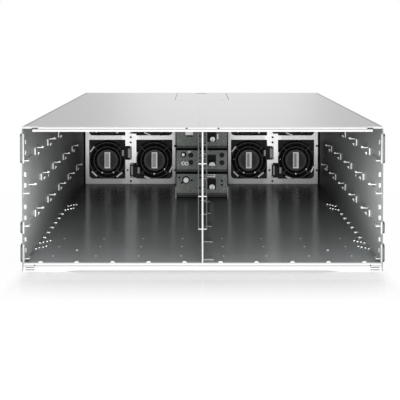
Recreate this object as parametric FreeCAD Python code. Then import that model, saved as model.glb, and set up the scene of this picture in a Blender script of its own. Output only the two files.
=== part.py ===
import FreeCAD, Part
import math
import os

from FreeCAD import Vector

# Front-open chassis, four rack units tall, for half-width server trays in two columns.
# Eight fan modules and four power modules slide out of its rear.
# All lengths are in mm. The origin is under the middle of the whole outline, handles included.
# The open front faces -Y, +Z is up.

# Enclosure
BODY_DEPTH = 705.0
SHEET = 1.2
BEND = 0.8
CLEARANCE = 0.3
LIP_HEIGHT = 10.4

# Base pan
HEM_PROUD = 0.8
HEM_HEIGHT = 3.6
LIP_STEP = 2.4
LIP_FOOT = 54.0
LIP_RAMP = 20.0
LIP_GROOVES = [2.2, 5.2]
LIP_GROOVE_HEIGHT = 0.8
LIP_GROOVE_DEPTH = 0.5
LIP_GROOVE_LENGTH = 11.0
LIP_GROOVE_INSET = 4.0
LIP_HOLE_RADIUS = 1.0
LIP_HOLE_DROP = 3.0
LIP_HOLE_FACETS = 6
PIP_COUNT = 10
PIP_WIDTH = 6.4
PIP_HEIGHT = 1.8
PIP_LENGTH = 5.0
FOOT_SLOT_PITCH = 36.5
FOOT_SLOT_COUNT = 10
FOOT_SLOT_FIRST = 72.0
FOOT_SLOT_LENGTH = 9.0
FOOT_SLOT_WIDTH = 2.4
FOOT_SLOT_INSET = 5.2

# Side walls
BASE_FLANGE = 16.0
TOP_FLANGE = 12.0
ROWS = 4
LEDGE_RISE = 5.1
LEDGE_REACH = 7.0
LEDGE_LENGTH = 13.0
LEDGE_SETBACK = 4.0
LEDGE_TAIL_REACH = 2.2
LEDGE_TAIL_LENGTH = 66.0
STATION_PITCH = 111.0
STATION_FIRST = 78.0
STATION_STAGGER = 51.0
STATION_COUNT = 5
STAGGERED_ROW = 2
STOP_REACH = 3.3
STOP_EDGE = 1.5
STOP_LENGTH = 9.0
STOP_HEIGHT = 8.8
STOP_DROP = 2.4
SHELF_TAB_REACH = 9.2
SHELF_TAB_LENGTH = 11.0
SHELF_TAB_RISE = 3.6
SHELF_TIP_WIDTH = 2.6
SHELF_TIP_HEIGHT = 2.4
SHELF_TAB_BEHIND = 28.0
TONGUE_TAB_LENGTH = 6.0
TONGUE_TAB_HEIGHT = 4.6
TONGUE_TAB_REACH = 2.6
TONGUE_TAB_DROP = 5.4
TONGUE_TAB_BEHIND = 39.0
CATCH_REACH = 2.0
CATCH_LENGTH = 3.6
CATCH_HEIGHT = 5.2
CATCH_SETBACK = 12.0
CATCH_RISE = 13.3
CATCH_GAP = 13.4
WALL_HEM_LENGTH = 8.0
WALL_HEM_SETBACK = 0.4
RAIL_HOLE_RADIUS = 2.6
RAIL_HOLE_SPACING = 300.0
RAIL_HOLE_HEIGHT = 88.0

# Side brackets on the outside of the walls
BRACKET_SHEET = 2.2
BRACKET_LENGTH = 62.0
BRACKET_SPINE = 38.0
BRACKET_FINGERS = [(0.062, 0.186), (0.262, 0.341), (0.748, 0.951)]
BRACKET_CORNER = 3.0

# Top cover and access panel
COVER_LIP = 6.0
COVER_LIP_END = 13.0
COVER_RELIEF_WIDTH = 20.0
COVER_RELIEF_DEPTH = 3.0
COVER_SEAM_DROP = 2.6
COVER_SEAM_HEIGHT = 0.8
COVER_SEAM_DEPTH = 0.5
TAB_NOTCH_X = 19.4
TAB_NOTCH_WIDTH = 2.4
PANEL_OVERLAP = 0.9
PANEL_SETBACK = 12.5
PANEL_REAR_STRIP = 8.0
PANEL_SEAM = 0.6
PANEL_LEDGE = 6.0
PANEL_LEDGE_SHEET = 1.5
HOOK_WIDTH = 13.0
HOOK_X = 33.0
HOOK_REACH = 5.0
WELD_X = 4.0
WELD_DEPTHS = [22.0, 54.0, 132.0, 208.0, 283.0, 357.0]
WELD_RADIUS = 1.5
WELD_SINK = 0.4
WELD_FACETS = 6
FINGER_NOTCH_LENGTH = 20.0
FINGER_NOTCH_WIDTH = 8.0
FINGER_NOTCH_INSET = 16.0

# Centre divider
DIVIDER_HEM = 1.8
DIVIDER_HEM_LENGTH = 9.0
DIVIDER_FLANGE = 12.0
DIVIDER_FOOT = 13.7
DIVIDER_FOOT_LENGTH = 12.0
DIVIDER_FOOT_FIRST = 18.0
DIVIDER_FOOT_LAST = 24.0
DIVIDER_FOOT_COUNT = 5
DIVIDER_TAB_REACH = 5.6
DIVIDER_TAB_LENGTH = 14.0
DIVIDER_TAB_DROP = 3.6
DIVIDER_LEG = 12.0

# Fan bays
FAN_SIZE = 80.0
FAN_DEPTH = 38.0
FAN_RIM = 2.4
FAN_BORE_FACETS = 20
FAN_SIDE_GAP = 3.25
FAN_CORNER = 4.0
FAN_FLANGE = 5.0
FAN_WAIST = 9.0
FAN_ROWS = 2
FAN_TRAY_RISE = 3.0
FAN_BAY_DEPTH = 48.0
FAN_FRONT_GAP = 0.5
TIP_GAP = 0.9
HUB_RADIUS = 20.0
HUB_FACETS = 16
HUB_SETBACK = 3.0
HUB_GAP = 0.3
BLADE_COUNT = 7
BLADE_THICKNESS = 1.6
BLADE_CAMBER = 2.4
BLADE_ROOT_CHORD = 28.0
BLADE_TIP_CHORD = 37.0
BLADE_ROOT_ANGLE = 52.0
BLADE_TIP_ANGLE = 34.0
BLADE_SINK = 2.5
MOTOR_BASE = 4.0
STRUT_WIDTH = 3.0
STRUT_COUNT = 4
STRUT_TURN = 45.0
FAN_PLUG_HEIGHT = 13.0
FAN_PLUG_DEPTH = 3.5
FAN_PLUG_LENGTH = 12.0
FAN_PLUG_GAP = 0.6
GUARD_BORDER = 4.0
GUARD_BAR = 2.4
GUARD_BAR_COUNT = 7
GUARD_SIDE_GAP = 1.2
PULL_WIDTH = 22.0
PULL_LENGTH = 11.0
PULL_SHEET = 2.4

# Fan frames
FRAME_SIDE_BAR = 9.8
FRAME_BOTTOM_BAR = 9.6
FRAME_MID_BAR = 8.0
POST_WIDTH = 20.4
WINDOW_CORNER = 7.0
POST_STRIP = 8.6
UPPER_CUT_RISE = 44.6
UPPER_CUT_HEIGHT = 26.0
LOWER_CUT_RISE = 11.4
LOWER_CUT_HEIGHT = 27.6
FRAME_HOLE_RADIUS = 2.2
FRAME_HOLE_FACETS = 6
FRAME_HOLE_MARGIN = 6.6
SOCKET_WIDTH = 8.0
SOCKET_HEIGHT = 21.0
SOCKET_DEPTH = 4.2

# Power cage, boards and modules
CAGE_LENGTH = 219.0
MODULE_WIDTH = 86.0
MODULE_SIDE_GAP = 0.4
MODULE_SETBACK = 8.0
MODULE_COUNT = 4
BOARD_SETBACK = 4.5
BOARD_SHEET = 1.6
BOARD_GAP = 8.2
BOARD_RISE = 6.2
LUG_SIZE = 6.0
TRAY_PLUG_X = 15.8
TRAY_PLUG_WIDTH = 16.0
TRAY_PLUG_HEIGHT = 17.0
TRAY_PLUG_DEPTH = 11.0
TRAY_PLUG_WALL = 2.4
STUD_FACETS = 12
STUD_LENGTH = 4.0
STUDS = [(0, -26.8, 6.1, 4.5), (1, -31.6, 9.0, 2.6), (3, -31.6, 9.0, 2.6)]
TONGUE_WIDTH = 46.0
TONGUE_SHEET = 1.6
TONGUE_LENGTH = 8.0
SOCKET_LENGTH = 10.6
SOCKET_WALL = 3.0
SOCKET_SLACK = 0.6
INLET_WIDTH = 27.0
INLET_HEIGHT = 20.0
INLET_DEPTH = 12.0
INLET_X = 14.0
VENT_COUNT = 8
VENT_WIDTH = 2.6
VENT_PITCH = 4.6
VENT_HEIGHT = 29.0
VENT_DEPTH = 5.0
VENT_X = -21.0
HANDLE_WIDTH = 36.0
HANDLE_REACH = 26.0
HANDLE_STRAP = 4.0
HANDLE_DEPTH = 9.0
HANDLE_CORNER = 6.0
HANDLE_X = -21.0
LATCH_X = 36.0
LATCH_BARREL = 3.2
LATCH_GAP = 0.7
LATCH_HEIGHT = 14.0
LATCH_TAIL = 17.0
LATCH_TAIL_SHEET = 2.2
LATCH_PIN_RADIUS = 1.5
LATCH_PIN_GAP = 0.06
EAR_SHEET = 2.0

# Sizes and places that follow from the sizes above
FLOOR = LIP_HEIGHT
FAN_TRAY = FLOOR + FAN_TRAY_RISE
FAN_ROW_PITCH = FAN_SIZE + SHEET + 2 * CLEARANCE
CEILING = FAN_TRAY + FAN_ROWS * FAN_ROW_PITCH - SHEET
BODY_HEIGHT = CEILING + SHEET
CAGE_IN = MODULE_WIDTH / 2 + MODULE_SIDE_GAP
CAGE_OUT = CAGE_IN + SHEET
CAGE_TOP = CEILING - PANEL_LEDGE_SHEET
FAN_BAY_WIDTH = FAN_SIZE + 2 * FAN_SIDE_GAP
FAN_BANK_WIDTH = 2 * FAN_BAY_WIDTH + SHEET
FAN_BANK_X = CAGE_OUT + FAN_BANK_WIDTH / 2
FAN_OFFSET_X = (FAN_BAY_WIDTH + SHEET) / 2
FAN_BORE_RADIUS = FAN_SIZE / 2 - FAN_RIM
ROTOR_RADIUS = FAN_BORE_RADIUS * math.cos(math.pi / FAN_BORE_FACETS) - TIP_GAP
WALL_IN = CAGE_OUT + FAN_BANK_WIDTH
WALL_OUT = WALL_IN + SHEET
OVERHANG = HANDLE_REACH - MODULE_SETBACK
FRONT = -(BODY_DEPTH + OVERHANG) / 2
REAR = FRONT + BODY_DEPTH
ROW_PITCH = (CEILING - FLOOR - LEDGE_RISE) / ROWS
FAN_PLANE = REAR - FAN_BAY_DEPTH
FAN_FRONT = FAN_PLANE + SHEET + FAN_FRONT_GAP
FAN_REAR = FAN_FRONT + FAN_DEPTH
HUB_LENGTH = FAN_DEPTH - HUB_SETBACK - HUB_GAP - MOTOR_BASE
CAGE_FRONT = REAR - CAGE_LENGTH
BOARD_FRONT = CAGE_FRONT + BOARD_SETBACK
BOARD_REAR = BOARD_FRONT + BOARD_SHEET
MODULE_PITCH = (CAGE_TOP - FAN_TRAY) / MODULE_COUNT
MODULE_HEIGHT = MODULE_PITCH - SHEET - 2 * CLEARANCE
MODULE_FRONT = BOARD_REAR + SOCKET_LENGTH + CLEARANCE
MODULE_REAR = REAR - MODULE_SETBACK
BOARD_HEIGHT = MODULE_PITCH - BOARD_GAP
PANEL_FRONT = CAGE_FRONT + PANEL_SETBACK


def block(x0, x1, y0, y1, z0, z1):
    """Box between two corners."""
    return Part.makeBox(x1 - x0, y1 - y0, z1 - z0, Vector(x0, y0, z0))


def rod(start, direction, radius, length):
    """Round bar from a point along a direction."""
    return Part.makeCylinder(radius, length, start, direction)


def joined(shapes):
    """One solid from shapes that touch or overlap."""
    return shapes[0].multiFuse(shapes[1:]).removeSplitter()


def mirrored(shape):
    """The same piece for the other side of the chassis."""
    return shape.mirror(Vector(0, 0, 0), Vector(1, 0, 0))


def moved(shape, x, y, z):
    """Copy of a shape at another place."""
    copy = shape.copy()
    copy.translate(Vector(x, y, z))
    return copy


def flat_face(corners):
    """Face with straight sides between points."""
    return Part.Face(Part.makePolygon(corners + corners[:1]))


def edges_along(shape, axis):
    """Straight edges of a shape that run along an axis."""
    return [edge for edge in shape.Edges if abs(edge.tangentAt(edge.FirstParameter).dot(axis)) > 0.99]


def window(x0, x1, z0, z1, round_x, round_z):
    """Cutter for a window in the fan frame with one round corner, at (round_x, round_z)."""
    plate = block(x0, x1, FAN_PLANE - 1, FAN_PLANE + SHEET + 1, z0, z1)
    corner = [edge for edge in edges_along(plate, Vector(0, 1, 0))
              if abs(edge.CenterOfMass.x - round_x) < 1e-6 and abs(edge.CenterOfMass.z - round_z) < 1e-6]
    return plate.makeFillet(WINDOW_CORNER, corner)


def facet_bar(radius, facets, y0, y1):
    """Many-sided bar along Y, for the round forms of the repeated fans."""
    turn = 2 * math.pi / facets
    corners = [Vector(radius * math.cos(n * turn), y0, radius * math.sin(n * turn)) for n in range(facets)]
    return flat_face(corners).extrude(Vector(0, y1 - y0, 0))


def sheet_face(path, thickness, bend):
    """Flat section of a bent sheet whose middle follows a path of (u, v) points."""
    points = [Vector(u, v, 0) for u, v in path]
    runs = [(end - start).normalize() for start, end in zip(points, points[1:])]
    normals = [Vector(-run.y, run.x, 0) for run in runs]
    radius = bend + thickness / 2
    edges = []
    ends = []
    for side in (thickness / 2, -thickness / 2):
        here = points[0] + normals[0] * side
        ends.append(here)
        for index in range(1, len(runs)):
            corner = points[index]
            turn = runs[index - 1].getAngle(runs[index])
            way = math.copysign(1.0, runs[index - 1].cross(runs[index]).z)
            trim = radius * math.tan(turn / 2)
            centre = corner - runs[index - 1] * trim + normals[index - 1] * (way * radius)
            into = corner - runs[index - 1] * trim + normals[index - 1] * side
            out = corner + runs[index] * trim + normals[index] * side
            middle = centre + (corner - centre).normalize() * (radius - way * side)
            edges.append(Part.makeLine(here, into))
            edges.append(Part.Arc(into, middle, out).toShape())
            here = out
        last = points[-1] + normals[-1] * side
        edges.append(Part.makeLine(here, last))
        ends.append(last)
    edges.append(Part.makeLine(ends[0], ends[2]))
    edges.append(Part.makeLine(ends[1], ends[3]))
    return Part.Face(Part.Wire(Part.__sortEdges__(edges)))


def along_y(face, start, end):
    """Extrude a face, drawn as (x, z), from one Y to another."""
    solid = face.extrude(Vector(0, 0, end - start))
    solid.rotate(Vector(0, 0, 0), Vector(1, 0, 0), 90)
    solid.translate(Vector(0, end, 0))
    return solid


def along_x(face, start, end):
    """Extrude a face, drawn as (y, z), from one X to another."""
    solid = face.extrude(Vector(0, 0, end - start))
    solid.rotate(Vector(0, 0, 0), Vector(1, 1, 1), 120)
    solid.translate(Vector(start, 0, 0))
    return solid


def ledge_height(row):
    """Height of the guide ledge under a row of trays."""
    return FLOOR + LEDGE_RISE + row * ROW_PITCH


def station_depths(row):
    """Places along the chassis of the guide tabs of a row, staggered on the middle row."""
    if row == STAGGERED_ROW:
        return [STATION_FIRST + STATION_STAGGER + n * STATION_PITCH for n in range(STATION_COUNT - 1)]
    return [STATION_FIRST + n * STATION_PITCH for n in range(STATION_COUNT)]


def base_pan():
    """Floor sheet with front and rear lips; the front lip is hemmed and stands on its two ends."""
    lip = FRONT + HEM_PROUD + SHEET / 2
    middle = FLOOR - SHEET / 2
    path = [(lip, 0), (lip, middle), (REAR - SHEET / 2, middle), (REAR - SHEET / 2, 0)]
    pan = along_x(sheet_face(path, SHEET, BEND), -WALL_IN, WALL_IN)
    hem = block(-WALL_IN, WALL_IN, FRONT, FRONT + HEM_PROUD, 0, LIP_STEP + HEM_HEIGHT)
    outer = WALL_OUT - LIP_FOOT
    inner = outer - LIP_RAMP
    step = [(-outer, -1), (-outer, 0), (-inner, LIP_STEP), (inner, LIP_STEP), (outer, 0), (outer, -1)]
    under = along_y(flat_face([Vector(x, z, 0) for x, z in step]), FRONT - 1, lip + SHEET)
    pips = []
    for index in range(PIP_COUNT):
        x = (index - (PIP_COUNT - 1) / 2) * 2 * WALL_OUT / PIP_COUNT
        crest = [(x - PIP_WIDTH / 2, FLOOR), (x + PIP_WIDTH / 2, FLOOR),
                 (x + PIP_WIDTH / 4, FLOOR + PIP_HEIGHT), (x - PIP_WIDTH / 4, FLOOR + PIP_HEIGHT)]
        start = FRONT + HEM_PROUD + SHEET + BEND
        pips.append(along_y(flat_face([Vector(u, v, 0) for u, v in crest]), start, start + PIP_LENGTH))
    slots = []
    for index in range(FOOT_SLOT_COUNT):
        y = FRONT + FOOT_SLOT_FIRST + index * FOOT_SLOT_PITCH
        x = WALL_IN - FOOT_SLOT_INSET
        slot = block(x, x + FOOT_SLOT_WIDTH, y, y + FOOT_SLOT_LENGTH, FLOOR - 2 * SHEET, FLOOR + SHEET)
        slots.extend([slot, mirrored(slot)])
    groove_out = WALL_OUT - LIP_GROOVE_INSET
    groove_in = groove_out - LIP_GROOVE_LENGTH
    for z in LIP_GROOVES:
        groove = block(groove_in, groove_out, FRONT - 1, FRONT + LIP_GROOVE_DEPTH,
                       z - LIP_GROOVE_HEIGHT / 2, z + LIP_GROOVE_HEIGHT / 2)
        slots.extend([groove, mirrored(groove)])
    hole = facet_bar(LIP_HOLE_RADIUS, LIP_HOLE_FACETS, FRONT - 1, lip + SHEET)
    hole = moved(hole, groove_in, 0, FLOOR - LIP_HOLE_DROP)
    slots.extend([hole, mirrored(hole)])
    return joined([pan, hem] + pips).cut([under] + slots)


def guide_tabs(row):
    """Lanced tabs of one row on the right wall: stops, shelf tabs and tongues."""
    level = ledge_height(row)
    tabs = []
    shelf_depths = [depth + SHELF_TAB_BEHIND for depth in station_depths(row)]
    if row == STAGGERED_ROW:
        shelf_depths.append(shelf_depths[0] - STATION_PITCH)
    for depth in shelf_depths:
        tabs.extend(shelf_tab(FRONT + depth, level + SHELF_TAB_RISE))
    for depth in station_depths(row):
        tabs.append(louver_stop(FRONT + depth, level - STOP_DROP))
        tabs.append(tongue_tab(FRONT + depth + TONGUE_TAB_BEHIND, level - TONGUE_TAB_DROP))
    return tabs


def louver_stop(y, low):
    """Lanced stop whose front end stands off the right wall."""
    inner = WALL_IN - STOP_REACH
    plan = [(inner, y), (inner + STOP_EDGE, y), (WALL_IN, y + STOP_LENGTH / 2), (WALL_IN, y + STOP_LENGTH)]
    return flat_face([Vector(x, place, low) for x, place in plan]).extrude(Vector(0, 0, STOP_HEIGHT))


def shelf_tab(y, low):
    """Flat tab on the right wall with an upturned tip."""
    inner = WALL_IN - SHELF_TAB_REACH
    flat = block(inner, WALL_IN, y, y + SHELF_TAB_LENGTH, low, low + SHEET)
    tip = block(inner, inner + SHELF_TIP_WIDTH, y, y + SHEET, low, low + SHELF_TIP_HEIGHT)
    return [flat, tip]


def tongue_tab(y, z):
    """Small lanced tongue that ramps inward from the right wall."""
    ramp = [(WALL_IN, z - TONGUE_TAB_HEIGHT / 2), (WALL_IN, z + TONGUE_TAB_HEIGHT / 2),
            (WALL_IN - TONGUE_TAB_REACH, z + TONGUE_TAB_HEIGHT / 2)]
    return along_y(flat_face([Vector(x, height, 0) for x, height in ramp]), y, y + TONGUE_TAB_LENGTH)


def side_wall():
    """Right side wall: flanged sheet with lanced guides, front catches and hems behind the bracket."""
    middle = WALL_OUT - SHEET / 2
    top = CEILING - SHEET / 2
    path = [(WALL_OUT - BASE_FLANGE, SHEET / 2), (middle, SHEET / 2), (middle, top),
            (WALL_OUT - TOP_FLANGE, top)]
    wall = along_y(sheet_face(path, SHEET, BEND), FRONT, REAR)
    room = HEM_PROUD + SHEET + BEND
    corner = SHEET + BEND
    low = block(WALL_OUT - BASE_FLANGE - 1, WALL_IN, FRONT - 1, FRONT + room, -1, corner)
    low_rear = block(WALL_OUT - BASE_FLANGE - 1, WALL_IN, REAR - room, REAR + 1, -1, corner)
    high = block(WALL_OUT - TOP_FLANGE - 1, WALL_IN, FRONT - 1, FRONT + room, CEILING - corner, CEILING + 1)
    high_rear = block(WALL_OUT - TOP_FLANGE - 1, WALL_IN, FAN_PLANE, REAR + 1, CEILING - corner, CEILING + 1)
    cuts = [low, low_rear, high, high_rear]
    for y in (-RAIL_HOLE_SPACING / 2, RAIL_HOLE_SPACING / 2):
        start = Vector(WALL_IN - 1, y, RAIL_HOLE_HEIGHT)
        cuts.append(rod(start, Vector(1, 0, 0), RAIL_HOLE_RADIUS, SHEET + 2))
    tabs = []
    for row in range(ROWS):
        level = ledge_height(row)
        y = FRONT + LEDGE_SETBACK
        for reach, length in ((LEDGE_REACH, LEDGE_LENGTH), (LEDGE_TAIL_REACH, LEDGE_TAIL_LENGTH)):
            tabs.append(block(WALL_IN - reach, WALL_IN, y, y + length, level - SHEET, level))
        for lift in (CATCH_RISE, CATCH_RISE + CATCH_GAP):
            y = FRONT + CATCH_SETBACK
            z = FLOOR + row * ROW_PITCH + lift - CATCH_HEIGHT / 2
            tabs.append(block(WALL_IN - CATCH_REACH, WALL_IN, y, y + CATCH_LENGTH, z, z + CATCH_HEIGHT))
    for bottom, top in bracket_fingers():
        y = FRONT + WALL_HEM_SETBACK
        tabs.append(block(WALL_IN - SHEET, WALL_IN, y, y + WALL_HEM_LENGTH, bottom, top))
    for row in range(1, ROWS):
        tabs.extend(guide_tabs(row))
    return joined([wall.cut(cuts)] + tabs)


def bracket_fingers():
    """Heights of the lower and upper edge of each bracket finger."""
    return [(low * BODY_HEIGHT, high * BODY_HEIGHT) for low, high in BRACKET_FINGERS]


def side_bracket():
    """Right outer bracket: a spine with fingers that reach the front edge of the wall."""
    fingers = bracket_fingers()
    rear = FRONT + BRACKET_LENGTH
    out = WALL_OUT + BRACKET_SHEET
    pieces = [block(WALL_OUT, out, rear - BRACKET_SPINE, rear, fingers[0][0], fingers[-1][1])]
    for bottom, top in fingers:
        pieces.append(block(WALL_OUT, out, FRONT, rear, bottom, top))
    bracket = joined(pieces)
    across = edges_along(bracket, Vector(1, 0, 0))
    front = [edge for edge in across if abs(edge.CenterOfMass.y - FRONT) < 1e-6]
    return bracket.makeChamfer(BRACKET_CORNER, front)


def top_cover():
    """Cover sheet with a folded front lip, a seam along it and the window of the access panel."""
    middle = BODY_HEIGHT - SHEET / 2
    path = [(REAR, middle), (FRONT + SHEET / 2, middle), (FRONT + SHEET / 2, BODY_HEIGHT - COVER_LIP)]
    cover = along_x(sheet_face(path, SHEET, BEND), -WALL_OUT, WALL_OUT)
    seam_top = BODY_HEIGHT - COVER_SEAM_DROP
    seam = block(-WALL_OUT, WALL_OUT, FRONT - 1, FRONT + COVER_SEAM_DEPTH,
                 seam_top - COVER_SEAM_HEIGHT, seam_top)
    relief_back = FRONT + COVER_RELIEF_DEPTH
    relief_in = WALL_OUT - COVER_RELIEF_WIDTH
    relief = block(relief_in, WALL_OUT + 1, FRONT - 1, relief_back, seam_top, BODY_HEIGHT + 1)
    end = block(WALL_OUT - COVER_LIP_END, WALL_OUT + 1, FRONT - 1, relief_back, 0, BODY_HEIGHT + 1)
    notch = block(TAB_NOTCH_X - TAB_NOTCH_WIDTH / 2, TAB_NOTCH_X + TAB_NOTCH_WIDTH / 2,
                  FRONT - 1, relief_back, seam_top, BODY_HEIGHT + 1)
    half = CAGE_OUT + PANEL_OVERLAP + PANEL_SEAM
    opening = block(-half, half, PANEL_FRONT - PANEL_SEAM, REAR - PANEL_REAR_STRIP + PANEL_SEAM,
                    CEILING - 1, BODY_HEIGHT + 1)
    welds = []
    for depth in WELD_DEPTHS:
        weld = facet_bar(WELD_RADIUS, WELD_FACETS, -1, WELD_SINK)
        weld.rotate(Vector(0, 0, 0), Vector(1, 0, 0), -90)
        welds.append(moved(weld, WELD_X, FRONT + depth, BODY_HEIGHT))
    cuts = [seam, opening]
    for cut in [relief, end, notch] + welds:
        cuts.extend([cut, mirrored(cut)])
    cover = cover.cut(cuts)
    low = CEILING - PANEL_LEDGE_SHEET
    ledge = block(half - PANEL_LEDGE, half + PANEL_LEDGE, PANEL_FRONT + HOOK_REACH, FAN_PLANE, low, CEILING)
    step = block(0, half, PANEL_FRONT, REAR, CEILING - CLEARANCE, BODY_HEIGHT)
    ledge = ledge.cut(step)
    return joined([cover, ledge, mirrored(ledge)])


def access_panel():
    """Lift-off panel, flush in the cover, with two hooks under the front seam and a finger notch."""
    rear = REAR - PANEL_REAR_STRIP
    half = CAGE_OUT + PANEL_OVERLAP
    plate = block(-half, half, PANEL_FRONT, rear, CEILING, BODY_HEIGHT)
    top = CEILING - CLEARANCE
    hook_rear = PANEL_FRONT + 2 * HOOK_REACH
    x0 = HOOK_X - HOOK_WIDTH / 2
    x1 = HOOK_X + HOOK_WIDTH / 2
    gap = block(x0, x1, PANEL_FRONT - 1, PANEL_FRONT + SHEET, CEILING - 1, BODY_HEIGHT + 1)
    plate = plate.cut([gap, mirrored(gap)])
    arm = block(x0, x1, PANEL_FRONT - HOOK_REACH, hook_rear, top - SHEET, top)
    neck = block(x0, x1, PANEL_FRONT + SHEET, hook_rear, top, CEILING)
    y = rear - FINGER_NOTCH_INSET
    notch = block(-FINGER_NOTCH_LENGTH / 2, FINGER_NOTCH_LENGTH / 2, y - FINGER_NOTCH_WIDTH / 2,
                  y + FINGER_NOTCH_WIDTH / 2, CEILING - 1, BODY_HEIGHT + 1)
    notch = notch.makeFillet(FINGER_NOTCH_WIDTH / 2.1, edges_along(notch, Vector(0, 0, 1)))
    return joined([plate, arm, neck, mirrored(arm), mirrored(neck)]).cut(notch)


def center_divider():
    """Middle sheet between the two columns of trays, hemmed in front, on foot tabs."""
    rear = CAGE_FRONT
    low = FLOOR + SHEET / 2
    high = CEILING - SHEET / 2
    path = [(DIVIDER_FLANGE, high), (0, high), (0, low), (DIVIDER_FOOT, low)]
    front = FRONT + SHEET + BEND
    sheet = along_y(sheet_face(path, SHEET, BEND), front, rear)
    gaps = []
    start = front - 1
    first = FRONT + DIVIDER_FOOT_FIRST
    last = rear - DIVIDER_FOOT_LAST - DIVIDER_FOOT_LENGTH
    for index in range(DIVIDER_FOOT_COUNT):
        foot = first + index * (last - first) / (DIVIDER_FOOT_COUNT - 1)
        gaps.append(block(SHEET / 2, DIVIDER_FOOT + 1, start, foot, 0, FLOOR + SHEET + BEND))
        start = foot + DIVIDER_FOOT_LENGTH
    gaps.append(block(SHEET / 2, DIVIDER_FOOT + 1, start, rear + 1, 0, FLOOR + SHEET + BEND))
    hem_top = BODY_HEIGHT - COVER_LIP - CLEARANCE
    hem = block(-DIVIDER_HEM / 2, DIVIDER_HEM / 2, front, front + DIVIDER_HEM_LENGTH, FLOOR, hem_top)
    tabs = []
    for row in range(1, ROWS):
        level = ledge_height(row) - DIVIDER_TAB_DROP
        y = FRONT + LEDGE_SETBACK
        leg = block(DIVIDER_TAB_REACH - SHEET, DIVIDER_TAB_REACH, y, y + DIVIDER_TAB_LENGTH,
                    level, level + DIVIDER_LEG)
        tabs.extend([leg, mirrored(leg)])
        depths = [LEDGE_SETBACK] + [depth + SHELF_TAB_BEHIND for depth in station_depths(row)]
        for depth in depths:
            y = FRONT + depth
            if y + DIVIDER_TAB_LENGTH < rear:
                tabs.append(block(-DIVIDER_TAB_REACH, DIVIDER_TAB_REACH, y, y + DIVIDER_TAB_LENGTH,
                                  level - SHEET, level))
    return joined([sheet.cut(gaps), hem] + tabs)


def post_cuts(row_floor):
    """Connector cut-outs on both halves of the post of one row of windows."""
    y0 = FAN_PLANE - 1
    y1 = FAN_PLANE + SHEET + 1
    edge = POST_WIDTH / 2
    left = block(-edge - 1, edge - POST_STRIP, y0, y1, row_floor + UPPER_CUT_RISE,
                 row_floor + UPPER_CUT_RISE + UPPER_CUT_HEIGHT)
    right = block(POST_STRIP - edge, edge + 1, y0, y1, row_floor + LOWER_CUT_RISE,
                  row_floor + LOWER_CUT_RISE + LOWER_CUT_HEIGHT)
    return [left, right]


def fan_frame():
    """Frame for four fan modules, about the middle of its own width: face, trays and partition."""
    half = FAN_BANK_WIDTH / 2
    face = block(-half, half, FAN_PLANE, FAN_PLANE + SHEET, FLOOR, CEILING)
    outer = half - FRAME_SIDE_BAR
    inner = POST_WIDTH / 2
    mid_low = FLOOR + FAN_ROW_PITCH + CLEARANCE
    spans = [(FLOOR + FRAME_BOTTOM_BAR, mid_low), (mid_low + FRAME_MID_BAR, CEILING - FRAME_BOTTOM_BAR)]
    cuts = []
    for low, high in spans:
        cuts.append(window(-outer, -inner, low, high, -outer, low))
        cuts.append(window(inner, outer, low, high, outer, low))
    for row in range(FAN_ROWS):
        row_floor = FLOOR + row * FAN_ROW_PITCH
        cuts.extend(post_cuts(row_floor))
        low_hole = row_floor + LOWER_CUT_RISE + LOWER_CUT_HEIGHT / 2
        high_hole = row_floor + UPPER_CUT_RISE + UPPER_CUT_HEIGHT
        edge = half - FRAME_SIDE_BAR / 2
        hole_places = [(0, row_floor + FRAME_BOTTOM_BAR / 2), (POST_STRIP / 2 - inner, low_hole),
                       (0, high_hole + FRAME_HOLE_MARGIN), (edge, low_hole), (edge, high_hole)]
        for x, z in hole_places:
            hole = facet_bar(FRAME_HOLE_RADIUS, FRAME_HOLE_FACETS, FAN_PLANE - 1, FAN_PLANE + SHEET + 1)
            cuts.append(moved(hole, x, 0, z))
    rear = REAR - SHEET
    tray = block(-half, half, FAN_PLANE, rear, FAN_TRAY - SHEET, FAN_TRAY)
    shelf_low = FAN_TRAY + FAN_ROW_PITCH - SHEET
    shelf = block(-half, half, FAN_PLANE, rear, shelf_low, shelf_low + SHEET)
    partition = block(-SHEET / 2, SHEET / 2, FAN_PLANE + SHEET, rear, FLOOR, CEILING)
    return joined([face.cut(cuts), tray, shelf, partition])


def fan_sockets():
    """Blind-mate sockets that stand in the post cut-outs of both frames."""
    edge = POST_WIDTH / 2
    sockets = []
    for bank in (-FAN_BANK_X, FAN_BANK_X):
        for row in range(FAN_ROWS):
            row_floor = FLOOR + row * FAN_ROW_PITCH
            left_x = bank + edge - POST_STRIP
            right_x = bank + POST_STRIP - edge
            left_z = row_floor + UPPER_CUT_RISE + (UPPER_CUT_HEIGHT - SOCKET_HEIGHT) / 2
            right_z = row_floor + LOWER_CUT_RISE + (LOWER_CUT_HEIGHT - SOCKET_HEIGHT) / 2
            y0 = FAN_PLANE + SHEET - SOCKET_DEPTH
            y1 = FAN_PLANE + SHEET
            sockets.append(block(left_x - SOCKET_WIDTH, left_x, y0, y1, left_z, left_z + SOCKET_HEIGHT))
            sockets.append(block(right_x, right_x + SOCKET_WIDTH, y0, y1, right_z, right_z + SOCKET_HEIGHT))
    return Part.makeCompound(sockets)


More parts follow.
